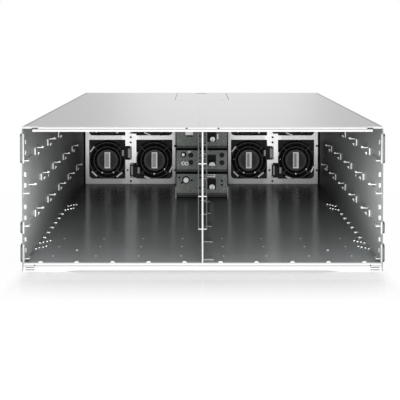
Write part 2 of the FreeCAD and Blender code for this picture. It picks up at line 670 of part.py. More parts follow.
def fan_housing(plug_side):
    """Square fan frame about its own axis: round bore, waisted corners, motor base on struts, plug."""
    half = FAN_SIZE / 2
    body = block(-half, half, FAN_FRONT, FAN_REAR, -half, half)
    body = body.makeChamfer(FAN_CORNER, edges_along(body, Vector(0, 1, 0)))
    cuts = [facet_bar(FAN_BORE_RADIUS, FAN_BORE_FACETS, FAN_FRONT - 1, FAN_REAR + 1)]
    for x in (-half, half - FAN_WAIST):
        for z in (-half, half - FAN_WAIST):
            cuts.append(block(x, x + FAN_WAIST, FAN_FRONT + FAN_FLANGE, FAN_REAR - FAN_FLANGE,
                              z, z + FAN_WAIST))
    pieces = [body.cut(cuts)]
    pieces.append(facet_bar(HUB_RADIUS, HUB_FACETS, FAN_REAR - MOTOR_BASE, FAN_REAR))
    for index in range(STRUT_COUNT):
        strut = block(HUB_RADIUS - 1, FAN_BORE_RADIUS + 1, FAN_REAR - MOTOR_BASE, FAN_REAR - 1,
                      -STRUT_WIDTH / 2, STRUT_WIDTH / 2)
        strut.rotate(Vector(0, 0, 0), Vector(0, 1, 0), STRUT_TURN + index * 360 / STRUT_COUNT)
        pieces.append(strut)
    return joined(pieces + [fan_plug(plug_side)])


def fan_plug(plug_side):
    """Plug on the front flange of a fan, level with its socket in the post."""
    reach = FAN_OFFSET_X - (SOCKET_WIDTH + POST_STRIP - POST_WIDTH / 2) - FAN_PLUG_GAP
    ends = sorted((plug_side * (reach - FAN_PLUG_LENGTH), plug_side * reach))
    if plug_side > 0:
        rise = UPPER_CUT_RISE + UPPER_CUT_HEIGHT / 2
    else:
        rise = LOWER_CUT_RISE + LOWER_CUT_HEIGHT / 2
    middle = rise - FAN_TRAY_RISE - CLEARANCE - FAN_SIZE / 2
    return block(ends[0], ends[1], FAN_FRONT - FAN_PLUG_DEPTH, FAN_FRONT, middle - FAN_PLUG_HEIGHT / 2,
                 middle + FAN_PLUG_HEIGHT / 2)


def blade_section(radius, share):
    """Thin cambered outline of a blade, in the plane at one radius; share runs from root to tip."""
    chord = BLADE_ROOT_CHORD + share * (BLADE_TIP_CHORD - BLADE_ROOT_CHORD)
    slant = math.radians(BLADE_ROOT_ANGLE + share * (BLADE_TIP_ANGLE - BLADE_ROOT_ANGLE))
    along = Vector(0, math.sin(slant), math.cos(slant))
    normal = Vector(0, math.cos(slant), -math.sin(slant))
    middle = Vector(radius, FAN_FRONT + HUB_SETBACK + HUB_LENGTH / 2, 0)
    corners = []
    for u, v in ((-1, -1), (0, -1), (1, -1), (1, 1), (0, 1), (-1, 1)):
        lift = v * BLADE_THICKNESS / 2 + (1 - abs(u)) * BLADE_CAMBER
        corners.append(middle + along * (u * chord / 2) + normal * lift)
    return corners


def blade():
    """Twisted blade from the hub to the running circle, in flat facets."""
    tip_reach = BLADE_TIP_CHORD / 2 * math.cos(math.radians(BLADE_TIP_ANGLE))
    tip = math.sqrt(ROTOR_RADIUS ** 2 - tip_reach ** 2)
    root = HUB_RADIUS - BLADE_SINK
    inner = blade_section(root, 0.0)
    outer = blade_section(tip, 1.0)
    faces = [flat_face(inner), flat_face(outer)]
    for here in range(len(inner)):
        there = (here + 1) % len(inner)
        faces.append(flat_face([inner[here], inner[there], outer[there]]))
        faces.append(flat_face([inner[here], outer[there], outer[here]]))
    return Part.makeSolid(Part.makeShell(faces))


def fan_rotor():
    """Hub with a ring of twisted blades."""
    hub_front = FAN_FRONT + HUB_SETBACK
    parts = [facet_bar(HUB_RADIUS, HUB_FACETS, hub_front, hub_front + HUB_LENGTH)]
    for index in range(BLADE_COUNT):
        turned = blade()
        turned.rotate(Vector(0, 0, 0), Vector(0, 1, 0), index * 360 / BLADE_COUNT)
        parts.append(turned)
    return joined(parts)


def fan_guard():
    """Rear carrier of a fan module: barred frame with a pull tab."""
    half = FAN_BAY_WIDTH / 2 - GUARD_SIDE_GAP
    tall = FAN_SIZE / 2
    guard = block(-half, half, FAN_REAR, REAR, -tall, tall)
    space = (2 * tall - 2 * GUARD_BORDER - (GUARD_BAR_COUNT - 1) * GUARD_BAR) / GUARD_BAR_COUNT
    slots = []
    for index in range(GUARD_BAR_COUNT):
        low = -tall + GUARD_BORDER + index * (space + GUARD_BAR)
        slots.append(block(GUARD_BORDER - half, half - GUARD_BORDER, FAN_REAR - 1, REAR + 1,
                           low, low + space))
    pull = block(-PULL_WIDTH / 2, PULL_WIDTH / 2, REAR, REAR + PULL_LENGTH, -tall, PULL_SHEET - tall)
    return joined([guard.cut(slots), pull])


def fan_places():
    """Fan axes as (x, z), from the left bank to the right, lower row first."""
    places = []
    for bank in (-FAN_BANK_X, FAN_BANK_X):
        for row in range(FAN_ROWS):
            for side in (-1, 1):
                z = FAN_TRAY + CLEARANCE + FAN_SIZE / 2 + row * FAN_ROW_PITCH
                places.append((bank + side * FAN_OFFSET_X, z, -side))
    return places


def module_floor(index):
    """Height of the cage shelf under a power module."""
    return FAN_TRAY + index * MODULE_PITCH


def power_cage():
    """Two upright walls with a shelf under each power module and lugs behind the boards."""
    wall = block(CAGE_IN, CAGE_OUT, CAGE_FRONT, REAR - SHEET, FLOOR, CAGE_TOP)
    pieces = [wall, mirrored(wall)]
    for index in range(MODULE_COUNT):
        top = module_floor(index)
        pieces.append(block(-CAGE_IN, CAGE_IN, BOARD_REAR + LUG_SIZE, REAR - SHEET, top - SHEET, top))
        middle = board_middle(index)
        lug = block(CAGE_IN - LUG_SIZE, CAGE_IN, BOARD_REAR, BOARD_REAR + SHEET,
                    middle - LUG_SIZE / 2, middle + LUG_SIZE / 2)
        pieces.extend([lug, mirrored(lug)])
    return joined(pieces)


def board_middle(index):
    """Height of the middle of a power board."""
    return module_floor(index) + BOARD_RISE + BOARD_HEIGHT / 2


def power_board(index):
    """Distribution board that stands across the front of the cage."""
    half = CAGE_IN - CLEARANCE
    middle = board_middle(index)
    board = block(-half, half, BOARD_FRONT, BOARD_REAR, middle - BOARD_HEIGHT / 2, middle + BOARD_HEIGHT / 2)
    return board.makeChamfer(BOARD_SHEET, edges_along(board, Vector(0, 1, 0)))


def tray_plugs():
    """Power plugs on the front of the boards, one for each level, open towards the trays."""
    plugs = []
    for index in range(MODULE_COUNT):
        middle = board_middle(index)
        x0 = TRAY_PLUG_X - TRAY_PLUG_WIDTH / 2
        x1 = TRAY_PLUG_X + TRAY_PLUG_WIDTH / 2
        z0 = middle - TRAY_PLUG_HEIGHT / 2
        z1 = middle + TRAY_PLUG_HEIGHT / 2
        shell = block(x0, x1, BOARD_FRONT - TRAY_PLUG_DEPTH, BOARD_FRONT, z0, z1)
        wall = TRAY_PLUG_WALL
        mouth = block(x0 + wall, x1 - wall, BOARD_FRONT - TRAY_PLUG_DEPTH - 1, BOARD_FRONT - wall,
                      middle, z1 - wall)
        plugs.append(shell.cut(mouth))
    return Part.makeCompound(plugs)


def board_studs():
    """Round studs on the left half of the boards; a stud is given as (board, x, rise, radius)."""
    studs = []
    for index, x, rise, radius in STUDS:
        stud = facet_bar(radius, STUD_FACETS, BOARD_FRONT - STUD_LENGTH, BOARD_FRONT)
        studs.append(moved(stud, x, 0, board_middle(index) + rise))
    return Part.makeCompound(studs)


def module_sockets():
    """Sockets on the back of the boards that take the tongues of the power modules."""
    sockets = []
    half = TONGUE_WIDTH / 2 + SOCKET_SLACK
    for index in range(MODULE_COUNT):
        middle = module_floor(index) + CLEARANCE + MODULE_HEIGHT / 2
        slot_half = TONGUE_SHEET / 2 + SOCKET_SLACK
        rear = MODULE_FRONT - CLEARANCE
        tall = slot_half + SOCKET_WALL
        wide = half + SOCKET_WALL
        shell = block(-wide, wide, BOARD_REAR, rear, middle - tall, middle + tall)
        deep = rear - TONGUE_LENGTH - SOCKET_SLACK
        slot = block(-half, half, deep, rear + 1, middle - slot_half, middle + slot_half)
        sockets.append(shell.cut(slot))
    return Part.makeCompound(sockets)


def module_case():
    """Power module about the middle of its own height: case, tongue, vents, inlet and latch ears."""
    half = MODULE_WIDTH / 2
    tall = MODULE_HEIGHT / 2
    case = block(-half, half, MODULE_FRONT, MODULE_REAR, -tall, tall)
    cuts = []
    for index in range(VENT_COUNT):
        x = VENT_X + (index - (VENT_COUNT - 1) / 2) * VENT_PITCH
        cuts.append(block(x - VENT_WIDTH / 2, x + VENT_WIDTH / 2, MODULE_REAR - VENT_DEPTH, MODULE_REAR + 1,
                          -VENT_HEIGHT / 2, VENT_HEIGHT / 2))
    cuts.append(block(INLET_X - INLET_WIDTH / 2, INLET_X + INLET_WIDTH / 2, MODULE_REAR - INLET_DEPTH,
                      MODULE_REAR + 1, -INLET_HEIGHT / 2, INLET_HEIGHT / 2))
    tongue = block(-TONGUE_WIDTH / 2, TONGUE_WIDTH / 2, MODULE_FRONT - TONGUE_LENGTH, MODULE_FRONT,
                   -TONGUE_SHEET / 2, TONGUE_SHEET / 2)
    pieces = [case.cut(cuts), tongue]
    axis_y = latch_axis_y()
    reach = LATCH_HEIGHT / 2 + CLEARANCE
    for low in (-reach - EAR_SHEET, reach):
        pieces.append(block(LATCH_X - LATCH_BARREL, LATCH_X + LATCH_BARREL, MODULE_REAR,
                            axis_y + LATCH_BARREL, low, low + EAR_SHEET))
    pieces.append(rod(Vector(LATCH_X, axis_y, -reach), Vector(0, 0, 1), LATCH_PIN_RADIUS, 2 * reach))
    return joined(pieces)


def latch_axis_y():
    """Place of the latch pin behind the rear face of a power module."""
    return MODULE_REAR + LATCH_GAP + LATCH_BARREL


def module_latch():
    """Release latch: a block on the pin with a thumb tail."""
    y = latch_axis_y()
    low = -LATCH_HEIGHT / 2
    x1 = LATCH_X + LATCH_BARREL
    knuckle = block(LATCH_X - LATCH_BARREL, x1, y - LATCH_BARREL, y + LATCH_BARREL, low, -low)
    knuckle = knuckle.makeChamfer(LATCH_BARREL / 2, edges_along(knuckle, Vector(0, 0, 1)))
    tail = block(x1 - LATCH_TAIL_SHEET, x1, y, y + LATCH_TAIL, low, -low)
    bore_radius = LATCH_PIN_RADIUS + LATCH_PIN_GAP
    bore = rod(Vector(LATCH_X, y, low - 1), Vector(0, 0, 1), bore_radius, LATCH_HEIGHT + 2)
    return joined([knuckle, tail]).cut(bore)


def module_handle():
    """Loop handle on the rear face of a power module."""
    half = HANDLE_WIDTH / 2
    low = -HANDLE_DEPTH / 2
    out = MODULE_REAR + HANDLE_REACH
    loop = block(HANDLE_X - half, HANDLE_X + half, MODULE_REAR, out, low, -low)
    rear = [edge for edge in edges_along(loop, Vector(0, 0, 1)) if abs(edge.CenterOfMass.y - out) < 1e-6]
    loop = loop.makeChamfer(HANDLE_CORNER, rear)
    grip = block(HANDLE_X - half + HANDLE_STRAP, HANDLE_X + half - HANDLE_STRAP, MODULE_REAR - 1,
                 out - HANDLE_STRAP, low - 1, 1 - low)
    return loop.cut(grip)


def all_nodes():
    """Every piece of the chassis by its name."""
    nodes = {
        "base_pan": base_pan(),
        "top_cover": top_cover(),
        "access_panel": access_panel(),
        "center_divider": center_divider(),
        "power_cage": power_cage(),
        "fan_sockets": fan_sockets(),
        "tray_plugs": tray_plugs(),
        "board_studs": board_studs(),
        "module_sockets": module_sockets(),
    }
    wall = side_wall()
    bracket = side_bracket()
    nodes["side_wall_right"] = wall
    nodes["side_wall_left"] = mirrored(wall)
    nodes["side_bracket_right"] = bracket
    nodes["side_bracket_left"] = mirrored(bracket)
    frame = fan_frame()
    nodes["fan_frame_left"] = moved(frame, -FAN_BANK_X, 0, 0)
    nodes["fan_frame_right"] = moved(frame, FAN_BANK_X, 0, 0)
    rotor = fan_rotor()
    guard = fan_guard()
    for number, (x, z, plug_side) in enumerate(fan_places(), start=1):
        nodes[f"fan_housing_{number}"] = moved(fan_housing(plug_side), x, 0, z)
        nodes[f"fan_rotor_{number}"] = moved(rotor, x, 0, z)
        nodes[f"fan_guard_{number}"] = moved(guard, x, 0, z)
    case = module_case()
    latch = module_latch()
    handle = module_handle()
    for index in range(MODULE_COUNT):
        z = module_floor(index) + CLEARANCE + MODULE_HEIGHT / 2
        nodes[f"power_board_{index + 1}"] = power_board(index)
        nodes[f"power_module_{index + 1}"] = moved(case, 0, 0, z)
        nodes[f"module_latch_{index + 1}"] = moved(latch, 0, 0, z)
        nodes[f"module_handle_{index + 1}"] = moved(handle, 0, 0, z)
    return nodes


os.makedirs("parts", exist_ok=True)
for name, shape in all_nodes().items():
    shape.exportStep(f"parts/{name}.step")
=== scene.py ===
import math

import bpy
import bmesh
from mathutils import Matrix, Vector


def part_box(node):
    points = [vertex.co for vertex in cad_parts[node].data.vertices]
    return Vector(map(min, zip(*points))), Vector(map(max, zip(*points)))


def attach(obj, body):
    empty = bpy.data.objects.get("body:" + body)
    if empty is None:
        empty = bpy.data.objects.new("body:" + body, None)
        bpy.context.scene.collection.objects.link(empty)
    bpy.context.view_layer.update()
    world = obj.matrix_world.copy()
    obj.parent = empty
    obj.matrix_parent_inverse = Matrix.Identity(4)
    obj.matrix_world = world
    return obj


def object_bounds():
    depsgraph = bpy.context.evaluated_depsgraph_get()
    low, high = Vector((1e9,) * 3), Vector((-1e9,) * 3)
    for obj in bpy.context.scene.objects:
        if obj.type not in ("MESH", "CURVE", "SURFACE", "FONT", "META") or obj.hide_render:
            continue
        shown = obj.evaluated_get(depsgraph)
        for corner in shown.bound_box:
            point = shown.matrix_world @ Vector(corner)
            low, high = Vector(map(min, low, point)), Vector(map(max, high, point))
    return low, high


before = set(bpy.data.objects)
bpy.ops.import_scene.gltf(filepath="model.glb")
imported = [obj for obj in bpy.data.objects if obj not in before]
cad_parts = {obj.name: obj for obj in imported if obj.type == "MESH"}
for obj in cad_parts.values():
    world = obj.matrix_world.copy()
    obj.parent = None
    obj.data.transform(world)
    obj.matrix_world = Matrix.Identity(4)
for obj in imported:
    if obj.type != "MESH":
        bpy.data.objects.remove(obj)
cad_low, cad_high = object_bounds()

MM = 0.001
SKIN = 0.15 * MM
FAN_COUNT = 8
BOARD_COUNT = 4
SIDES = (-1, 1)
SIDE_NAMES = ("left", "right")
TOWARDS_FRONT = (0, -1, 0)
TOWARDS_REAR = (0, 1, 0)
UPWARDS = (0, 0, 1)
QUARTER_TURN = 90

# Sizes of the part that the frame's boxes don't tell
SHEET = 1.2 * MM
PIP_HEIGHT = 1.8 * MM
POST_HALF = 10.2 * MM
FAN_SIZE = 80 * MM
FAN_DEPTH = 38 * MM
ROW_PITCH = 81.8 * MM
HUB_SETBACK = 3 * MM
GUIDE_SETBACK = 4 * MM
LEG_IN = 4.4 * MM
LEG_OUT = 5.6 * MM
GROOVE_START = 204 * MM
GROOVE_DEPTH = 0.5 * MM
HEM_GROOVE = (173.5 * MM, 174.5 * MM)

# Places read from the frame
pan_low, pan_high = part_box("base_pan")
wall_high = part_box("side_wall_right")[1]
cover_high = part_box("top_cover")[1]
frame_low, frame_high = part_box("fan_frame_right")
cage_low, cage_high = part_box("power_cage")
panel_low, panel_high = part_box("access_panel")
housing_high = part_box("fan_housing_1")[1]
rotor_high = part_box("fan_rotor_1")[1]
FRONT = pan_low.y
REAR = pan_high.y
FLOOR = pan_high.z - PIP_HEIGHT
WALL_OUT = wall_high.x
WALL_IN = WALL_OUT - SHEET
TOP = cover_high.z
FAN_PLANE = frame_low.y
BANK_X = (frame_low.x + frame_high.x) / 2
FAN_FRONT = housing_high.y - FAN_DEPTH
HUB_FRONT = FAN_FRONT + HUB_SETBACK
HUB_REAR = rotor_high.y
GUIDE_FACE = FRONT + GUIDE_SETBACK

# Bands and directions that choose the faces to paint
EDGE_BAND = 3 * MM
DEEP_TABS = 30 * MM
SQUARE_ON = 0.9
UPRIGHT = 0.5
BENT = 0.2

# Grains of the materials
ALONG_X = (6, 900, 900)
ALONG_Y = (900, 6, 900)
ALONG_Z = (900, 900, 6)
BRUSH_SCALE = 1.0
BRUSH_DETAIL = 4.0
BRUSH_ROUGHNESS = 0.6
BRUSH_MARKS = (0.3, 0.7)
BRUSH_RELIEF = 0.4 * MM
MOTTLE = 0.08
MOTTLE_SCALE = 700.0
MOTTLE_DETAIL = 2.0
MOTTLE_BUMP = (0.05, 0.2 * MM)
MOULD_SCALE = 900.0
MOULD_DETAIL = 2.0
MOULD_BUMP = (0.08, 0.3 * MM)
BOARD_DETAIL = 3.0
BOARD_ROUGHNESS = 0.7
BOARD_MARKS = (0.36, 0.66)

# Places at which the painted light and shade change
FLOOR_SHADE_START = FRONT + 165 * MM
WALL_SHADE_START = FRONT + 10 * MM
HALF_HEIGHT = TOP / 2
LIP_SEAM_SHADE = 7.2 * MM
LIP_SEAM_SHADE_HALF = 0.45 * MM

# Camera, as the photograph was taken
CAMERA_PLACE = (-0.0031, -1.6065, 0.2918)
CAMERA_PITCH = 1.5
FOCAL_PIXELS = 1026.1
IMAGE_PIXELS = 400
SHIFT_PIXELS = -140.7
SENSOR_WIDTH = 36.0


def add_node(material, kind, **values):
    """Node of a material, with its named inputs or properties set."""
    node = material.node_tree.nodes.new(kind)
    for key, value in values.items():
        if key in node.inputs:
            node.inputs[key].default_value = value
        else:
            setattr(node, key, value)
    return node


def link(material, source, target):
    """Join an output socket to an input socket."""
    material.node_tree.links.new(source, target)


def reckon(material, operation, first, second=0.0):
    """Result of one operation on a socket and a number or another socket."""
    node = add_node(material, "ShaderNodeMath", operation=operation)
    link(material, first, node.inputs[0])
    if isinstance(second, bpy.types.NodeSocket):
        link(material, second, node.inputs[1])
    else:
        node.inputs[1].default_value = second
    return node.outputs["Value"]


def distance_from(material, value, middle=0.0):
    """How far a value is from a middle, on either side."""
    return reckon(material, "ABSOLUTE", reckon(material, "SUBTRACT", value, middle))


def ramp_over(material, value, starts, ends, course="SMOOTHSTEP"):
    """Result that runs from one share to another while a value passes from one mark to another."""
    node = add_node(material, "ShaderNodeMapRange", interpolation_type=course)
    for end, (mark, share) in (("Min", starts), ("Max", ends)):
        node.inputs[f"From {end}"].default_value = mark
        node.inputs[f"To {end}"].default_value = share
    link(material, value, node.inputs["Value"])
    return node.outputs["Result"]


def shader_input(material, name):
    """Input of a material's main shader."""
    return material.node_tree.nodes["Principled BSDF"].inputs[name]


def new_material(name, roughness, metallic=0.0, shine=0.5):
    """Node material whose main shader has its finish set."""
    material = bpy.data.materials.new(name)
    material.use_nodes = True
    shader_input(material, "Roughness").default_value = roughness
    shader_input(material, "Metallic").default_value = metallic
    shader_input(material, "Specular IOR Level").default_value = shine
    return material


def add_grain(material, scale, detail, roughness=0.5, stretch=(1, 1, 1)):
    """Noise over an object's own coordinates, which may be drawn out along an axis."""
    place = add_node(material, "ShaderNodeTexCoord")
    mapping = add_node(material, "ShaderNodeMapping", Scale=stretch)
    noise = add_node(material, "ShaderNodeTexNoise", Scale=scale, Detail=detail, Roughness=roughness)
    link(material, place.outputs["Object"], mapping.inputs["Vector"])
    link(material, mapping.outputs["Vector"], noise.inputs["Vector"])
    return noise.outputs["Fac"]


def add_tone(material, grain, dark, pale, marks=(0.0, 1.0)):
    """Let a material's colour run between two tones while its grain passes between two marks."""
    tone = add_node(material, "ShaderNodeValToRGB")
    for element, mark, color in zip(tone.color_ramp.elements, marks, (dark, pale)):
        element.position = mark
        element.color = (*color, 1)
    link(material, grain, tone.inputs["Fac"])
    link(material, tone.outputs["Color"], shader_input(material, "Base Color"))


def add_bump(material, grain, strength, relief):
    """Let a material's grain lift its surface."""
    bump = add_node(material, "ShaderNodeBump", Strength=strength, Distance=relief)
    link(material, grain, bump.inputs["Height"])
    link(material, bump.outputs["Normal"], shader_input(material, "Normal"))


def varied(color, spread):
    """Darker and paler tone of a colour."""
    dark = [channel * (1 - spread) for channel in color]
    pale = [min(1, channel * (1 + spread)) for channel in color]
    return dark, pale


def plain(name, color, roughness, metallic=0.0, shine=0.5):
    """Small part of one colour, with a faint mottle in its tone and its surface."""
    material = new_material(name, roughness, metallic, shine)
    grain = add_grain(material, MOTTLE_SCALE, MOTTLE_DETAIL)
    add_tone(material, grain, *varied(color, MOTTLE))
    add_bump(material, grain, *MOTTLE_BUMP)
    return material


def brushed_metal(name, color, stretch, roughness, spread, depth, metallic=1.0, shine=0.5):
    """Sheet metal with a fine grain along one axis; spread varies its tone and depth its bump."""
    material = new_material(name, roughness, metallic, shine)
    grain = add_grain(material, BRUSH_SCALE, BRUSH_DETAIL, BRUSH_ROUGHNESS, stretch)
    add_tone(material, grain, *varied(color, spread), BRUSH_MARKS)
    add_bump(material, grain, depth, BRUSH_RELIEF)
    return material


def moulded(name, color, roughness, shine=0.5):
    """Plastic with a faint moulded texture."""
    material = new_material(name, roughness, shine=shine)
    grain = add_grain(material, MOULD_SCALE, MOULD_DETAIL)
    add_bump(material, grain, *MOULD_BUMP)
    shader_input(material, "Base Color").default_value = (*color, 1)
    return material


def speckled(name, dark, pale, scale, roughness):
    """Board whose tone changes in small patches."""
    material = new_material(name, roughness)
    grain = add_grain(material, scale, BOARD_DETAIL, BOARD_ROUGHNESS)
    add_tone(material, grain, dark, pale, BOARD_MARKS)
    return material


def place_on_object(material):
    """Coordinates on an object, as sockets X, Y and Z."""
    place = add_node(material, "ShaderNodeTexCoord")
    split = add_node(material, "ShaderNodeSeparateXYZ")
    link(material, place.outputs["Object"], split.inputs["Vector"])
    return split.outputs


def seam_shaded(name, color, seam_shade_color, height, half, roughness):
    """Folded sheet with a dull line at one height: the seam where its folded layer meets the face, its dark
    drawn as painted shade.
    """
    material = new_material(name, roughness)
    inside = add_node(material, "ShaderNodeMath", operation="COMPARE")
    inside.inputs[1].default_value = height
    inside.inputs[2].default_value = half
    link(material, place_on_object(material)["Z"], inside.inputs[0])
    add_tone(material, inside.outputs["Value"], color, seam_shade_color)
    return material


def stretched_gloss(material, amount):
    """Draw the reflections of a level sheet out along its depth."""
    tangent = add_node(material, "ShaderNodeTangent", direction_type="RADIAL", axis="X")
    link(material, tangent.outputs["Tangent"], shader_input(material, "Tangent"))
    shader_input(material, "Anisotropic").default_value = amount


def paint_light_and_shade(material, value, starts, ends):
    """Paint light and shade into a material: scale its tone by a share that runs from one mark of a value
    to another.
    """
    target = shader_input(material, "Base Color")
    scaled = add_node(material, "ShaderNodeVectorMath", operation="SCALE")
    link(material, target.links[0].from_socket, scaled.inputs["Vector"])
    link(material, ramp_over(material, value, starts, ends), scaled.inputs["Scale"])
    link(material, scaled.outputs["Vector"], target)


def paint_shade_with_depth(material, start, rear_share):
    """Paint shade on a sheet: it grows darker from a start behind the front to the fans."""
    depth = place_on_object(material)["Y"]
    paint_light_and_shade(material, depth, (start, 1.0), (FAN_PLANE, rear_share))


def paint_highlight_on_posts(material, share):
    """Paint a highlight on the posts in the middle of the fan frames, lighter than their bars."""
    across = distance_from(material, place_on_object(material)["X"])
    offset = distance_from(material, across, BANK_X)
    paint_light_and_shade(material, offset, (POST_HALF, share), (2 * POST_HALF, 1.0))


def paint_shade_on_cover_sides(material, share):
    """Paint shade on the bent side edges of the cover, darker than its middle."""
    across = distance_from(material, place_on_object(material)["X"])
    paint_light_and_shade(material, across, (WALL_OUT - 2 * EDGE_BAND, 1.0), (WALL_OUT, share))


def paint_light_at_half_height(material, middle_share, edge_share):
    """Paint light and shade on the walls: lightest at half their height, darker towards the floor and the
    cover.
    """
    away = distance_from(material, place_on_object(material)["Z"], HALF_HEIGHT)
    paint_light_and_shade(material, away, (0, middle_share), (HALF_HEIGHT, edge_share))


def paint_light_upwards(material, low_share, high_share):
    """Paint light and shade on the sheet of the fan frames: darker at the floor, lighter towards the upper
    row of fans.
    """
    height = place_on_object(material)["Z"]
    paint_light_and_shade(material, height, (FLOOR, low_share), (FLOOR + ROW_PITCH, high_share))


# Materials
floor_steel = brushed_metal("floor_steel", (0.50, 0.525, 0.525), ALONG_X, roughness=0.25,
                            spread=0.06, depth=0.06, metallic=0.30, shine=0.2)
stretched_gloss(floor_steel, amount=0.85)
# Painted shade: the floor grows darker from behind the front to the fans.
paint_shade_with_depth(floor_steel, FLOOR_SHADE_START, rear_share=0.14)
wall_steel = brushed_metal("wall_steel", (0.62, 0.635, 0.635), ALONG_Y, roughness=0.50,
                           spread=0.08, depth=0.08, metallic=0.15, shine=0.2)
# Painted shade: the inside of the walls grows darker towards the fans.
paint_shade_with_depth(wall_steel, WALL_SHADE_START, rear_share=0.06)
# Painted light and shade: the walls lightest at half their height.
paint_light_at_half_height(wall_steel, middle_share=1.38, edge_share=0.74)
outer_steel = brushed_metal("outer_steel", (0.52, 0.53, 0.53), ALONG_Y, roughness=0.42,
                            spread=0.06, depth=0.05, metallic=0.8)
divider_steel = brushed_metal("divider_steel", (0.27, 0.275, 0.275), ALONG_Y, roughness=0.50,
                              spread=0.06, depth=0.05, metallic=0.10)
frame_steel = brushed_metal("frame_steel", (0.42, 0.424, 0.42), ALONG_Z, roughness=0.45,
                            spread=0.10, depth=0.04, metallic=0.25)
# Painted highlight: the posts of the fan frames lighter than their bars.
paint_highlight_on_posts(frame_steel, share=1.4)
# Painted light and shade: the fan frames darker at the floor and lighter above.
paint_light_upwards(frame_steel, low_share=0.48, high_share=1.5)
# Painted shade: a dull line along the seam of the front lip's fold.
lip_steel = seam_shaded("lip_steel", (0.57, 0.57, 0.565), (0.30, 0.30, 0.30), LIP_SEAM_SHADE, LIP_SEAM_SHADE_HALF,
                  roughness=0.45)
cover_steel = brushed_metal("cover_steel", (0.39, 0.394, 0.39), ALONG_X, roughness=0.40,
                            spread=0.03, depth=0.03)
# Painted shade: the cover's bent side edges darker than its middle.
paint_shade_on_cover_sides(cover_steel, share=0.35)
# Painted shade: the side brackets are dark, so their outer edges read as a shaded outline.
shaded_bracket_steel = brushed_metal("shaded_bracket_steel", (0.09, 0.092, 0.092), ALONG_Z, roughness=0.40,
                           spread=0.05, depth=0.03)
# Painted highlight: near-white steel for the small tabs on the floor.
painted_highlight_steel = brushed_metal("painted_highlight_steel", (0.92, 0.92, 0.91), ALONG_X, roughness=0.35,
                             spread=0.03, depth=0.02)
case_metal = brushed_metal("case_metal", (0.55, 0.56, 0.57), ALONG_Y, roughness=0.40,
                           spread=0.05, depth=0.05)
# Painted shade on faces deep in shadow, and the print rows of the fan labels.
shade_and_print_black = plain("shade_and_print_black", (0.035, 0.036, 0.036), roughness=0.60)
polished = plain("polished", (0.90, 0.90, 0.89), roughness=0.22, metallic=1.0)
# Dull steel of screws and cut edges, and painted shade in the seam groove of the cover's hem.
dull_and_painted_shade_steel = plain("dull_and_painted_shade_steel", (0.20, 0.21, 0.205), roughness=0.50)
# Painted shade: dim tone of the guide legs and the strips between them.
painted_shade_leg_steel = plain("painted_shade_leg_steel", (0.065, 0.067, 0.067), roughness=0.55, shine=0.2)
# Pale steel of a board's chip, and painted light on front edges that face the lamp.
pale_and_painted_light_steel = plain("pale_and_painted_light_steel", (0.50, 0.50, 0.495), roughness=0.45)
# Near-white zinc of small board parts, and painted glints: the fan guards' welds and clips and the floor
# dots white as highlights.
zinc_and_painted_glint = plain("zinc_and_painted_glint", (0.94, 0.94, 0.93), roughness=0.40)
# Painted highlight on the ends of the wall's lanced tabs that face the lamp, with painted shade towards the
# fans.
tab_highlight_and_shade = plain("tab_highlight_and_shade", (0.94, 0.94, 0.93), roughness=0.40, shine=0.4)
paint_shade_with_depth(tab_highlight_and_shade, FLOOR_SHADE_START, rear_share=0.45)
black_plastic = moulded("black_plastic", (0.006, 0.006, 0.0065), roughness=0.55, shine=0.12)
rotor_plastic = moulded("rotor_plastic", (0.008, 0.008, 0.0085), roughness=0.45, shine=0.2)
hub_plastic = moulded("hub_plastic", (0.010, 0.010, 0.0105), roughness=0.55, shine=0.2)
guard_paint = moulded("guard_paint", (0.02, 0.02, 0.021), roughness=0.38)
grey_plastic = moulded("grey_plastic", (0.22, 0.22, 0.22), roughness=0.45)
white_plastic = moulded("white_plastic", (0.96, 0.96, 0.95), roughness=0.40)
latch_plastic = moulded("latch_plastic", (0.03, 0.12, 0.20), roughness=0.40)
board_mask = speckled("board_mask", (0.075, 0.092, 0.082), (0.20, 0.225, 0.205), scale=420.0,
                      roughness=0.55)
label_paper = plain("label_paper", (0.86, 0.86, 0.85), roughness=0.55)
# Black of small black parts, and painted shade in holes, grooves, seams and gaps.
black_and_painted_shade = plain("black_and_painted_shade", (0.003, 0.003, 0.003), roughness=0.9, shine=0.0)
wire_metal = plain("wire_metal", (0.08, 0.08, 0.082), roughness=0.40)
lens_green = plain("lens_green", (0.05, 0.35, 0.12), roughness=0.25)


def paint(node, material):
    """Give a node of the frame a material."""
    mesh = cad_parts[node].data
    mesh.materials.clear()
    mesh.materials.append(material)


def paint_faces(node, material, chosen):
    """Give another material to the faces of a node whose middle and direction are chosen."""
    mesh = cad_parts[node].data
    mesh.materials.append(material)
    for face in mesh.polygons:
        if chosen(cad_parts[node].matrix_world @ face.center, face.normal):
            face.material_index = len(mesh.materials) - 1


def faces_front(middle, normal):
    """True for faces that look straight to the front."""
    return normal.y < -SQUARE_ON


def faces_front_inside(middle, normal):
    """True for the ends of the lanced tabs on a wall, behind the front ones."""
    return faces_front(middle, normal) and middle.y - FRONT > DEEP_TABS


def at_front(middle, normal):
    """True for the faces of a front edge, its fold included."""
    return middle.y < FRONT + EDGE_BAND


def on_cut_edge(middle, normal):
    """True for the cut front edge of a wall."""
    return middle.y < FRONT + SKIN


def outside_wall(middle, normal):
    """True for the outside of a wall."""
    return abs(middle.x) > WALL_IN + SKIN


def outside_pan(middle, normal):
    """True for the underside of the base pan and its rear edge."""
    return middle.z < FLOOR - SKIN or middle.y > FAN_PLANE


def inside_cage(middle, normal):
    """True for the faces between the side sheets of the power cage."""
    return abs(middle.x) < cage_high.x - 2 * SHEET


def on_panel_seam(middle, normal):
    """True for the upright faces along the seam of the access panel."""
    near = abs(middle.x) < panel_high.x + EDGE_BAND and middle.y > panel_low.y - EDGE_BAND
    return near and middle.y < REAR - EDGE_BAND and abs(normal.z) < UPRIGHT


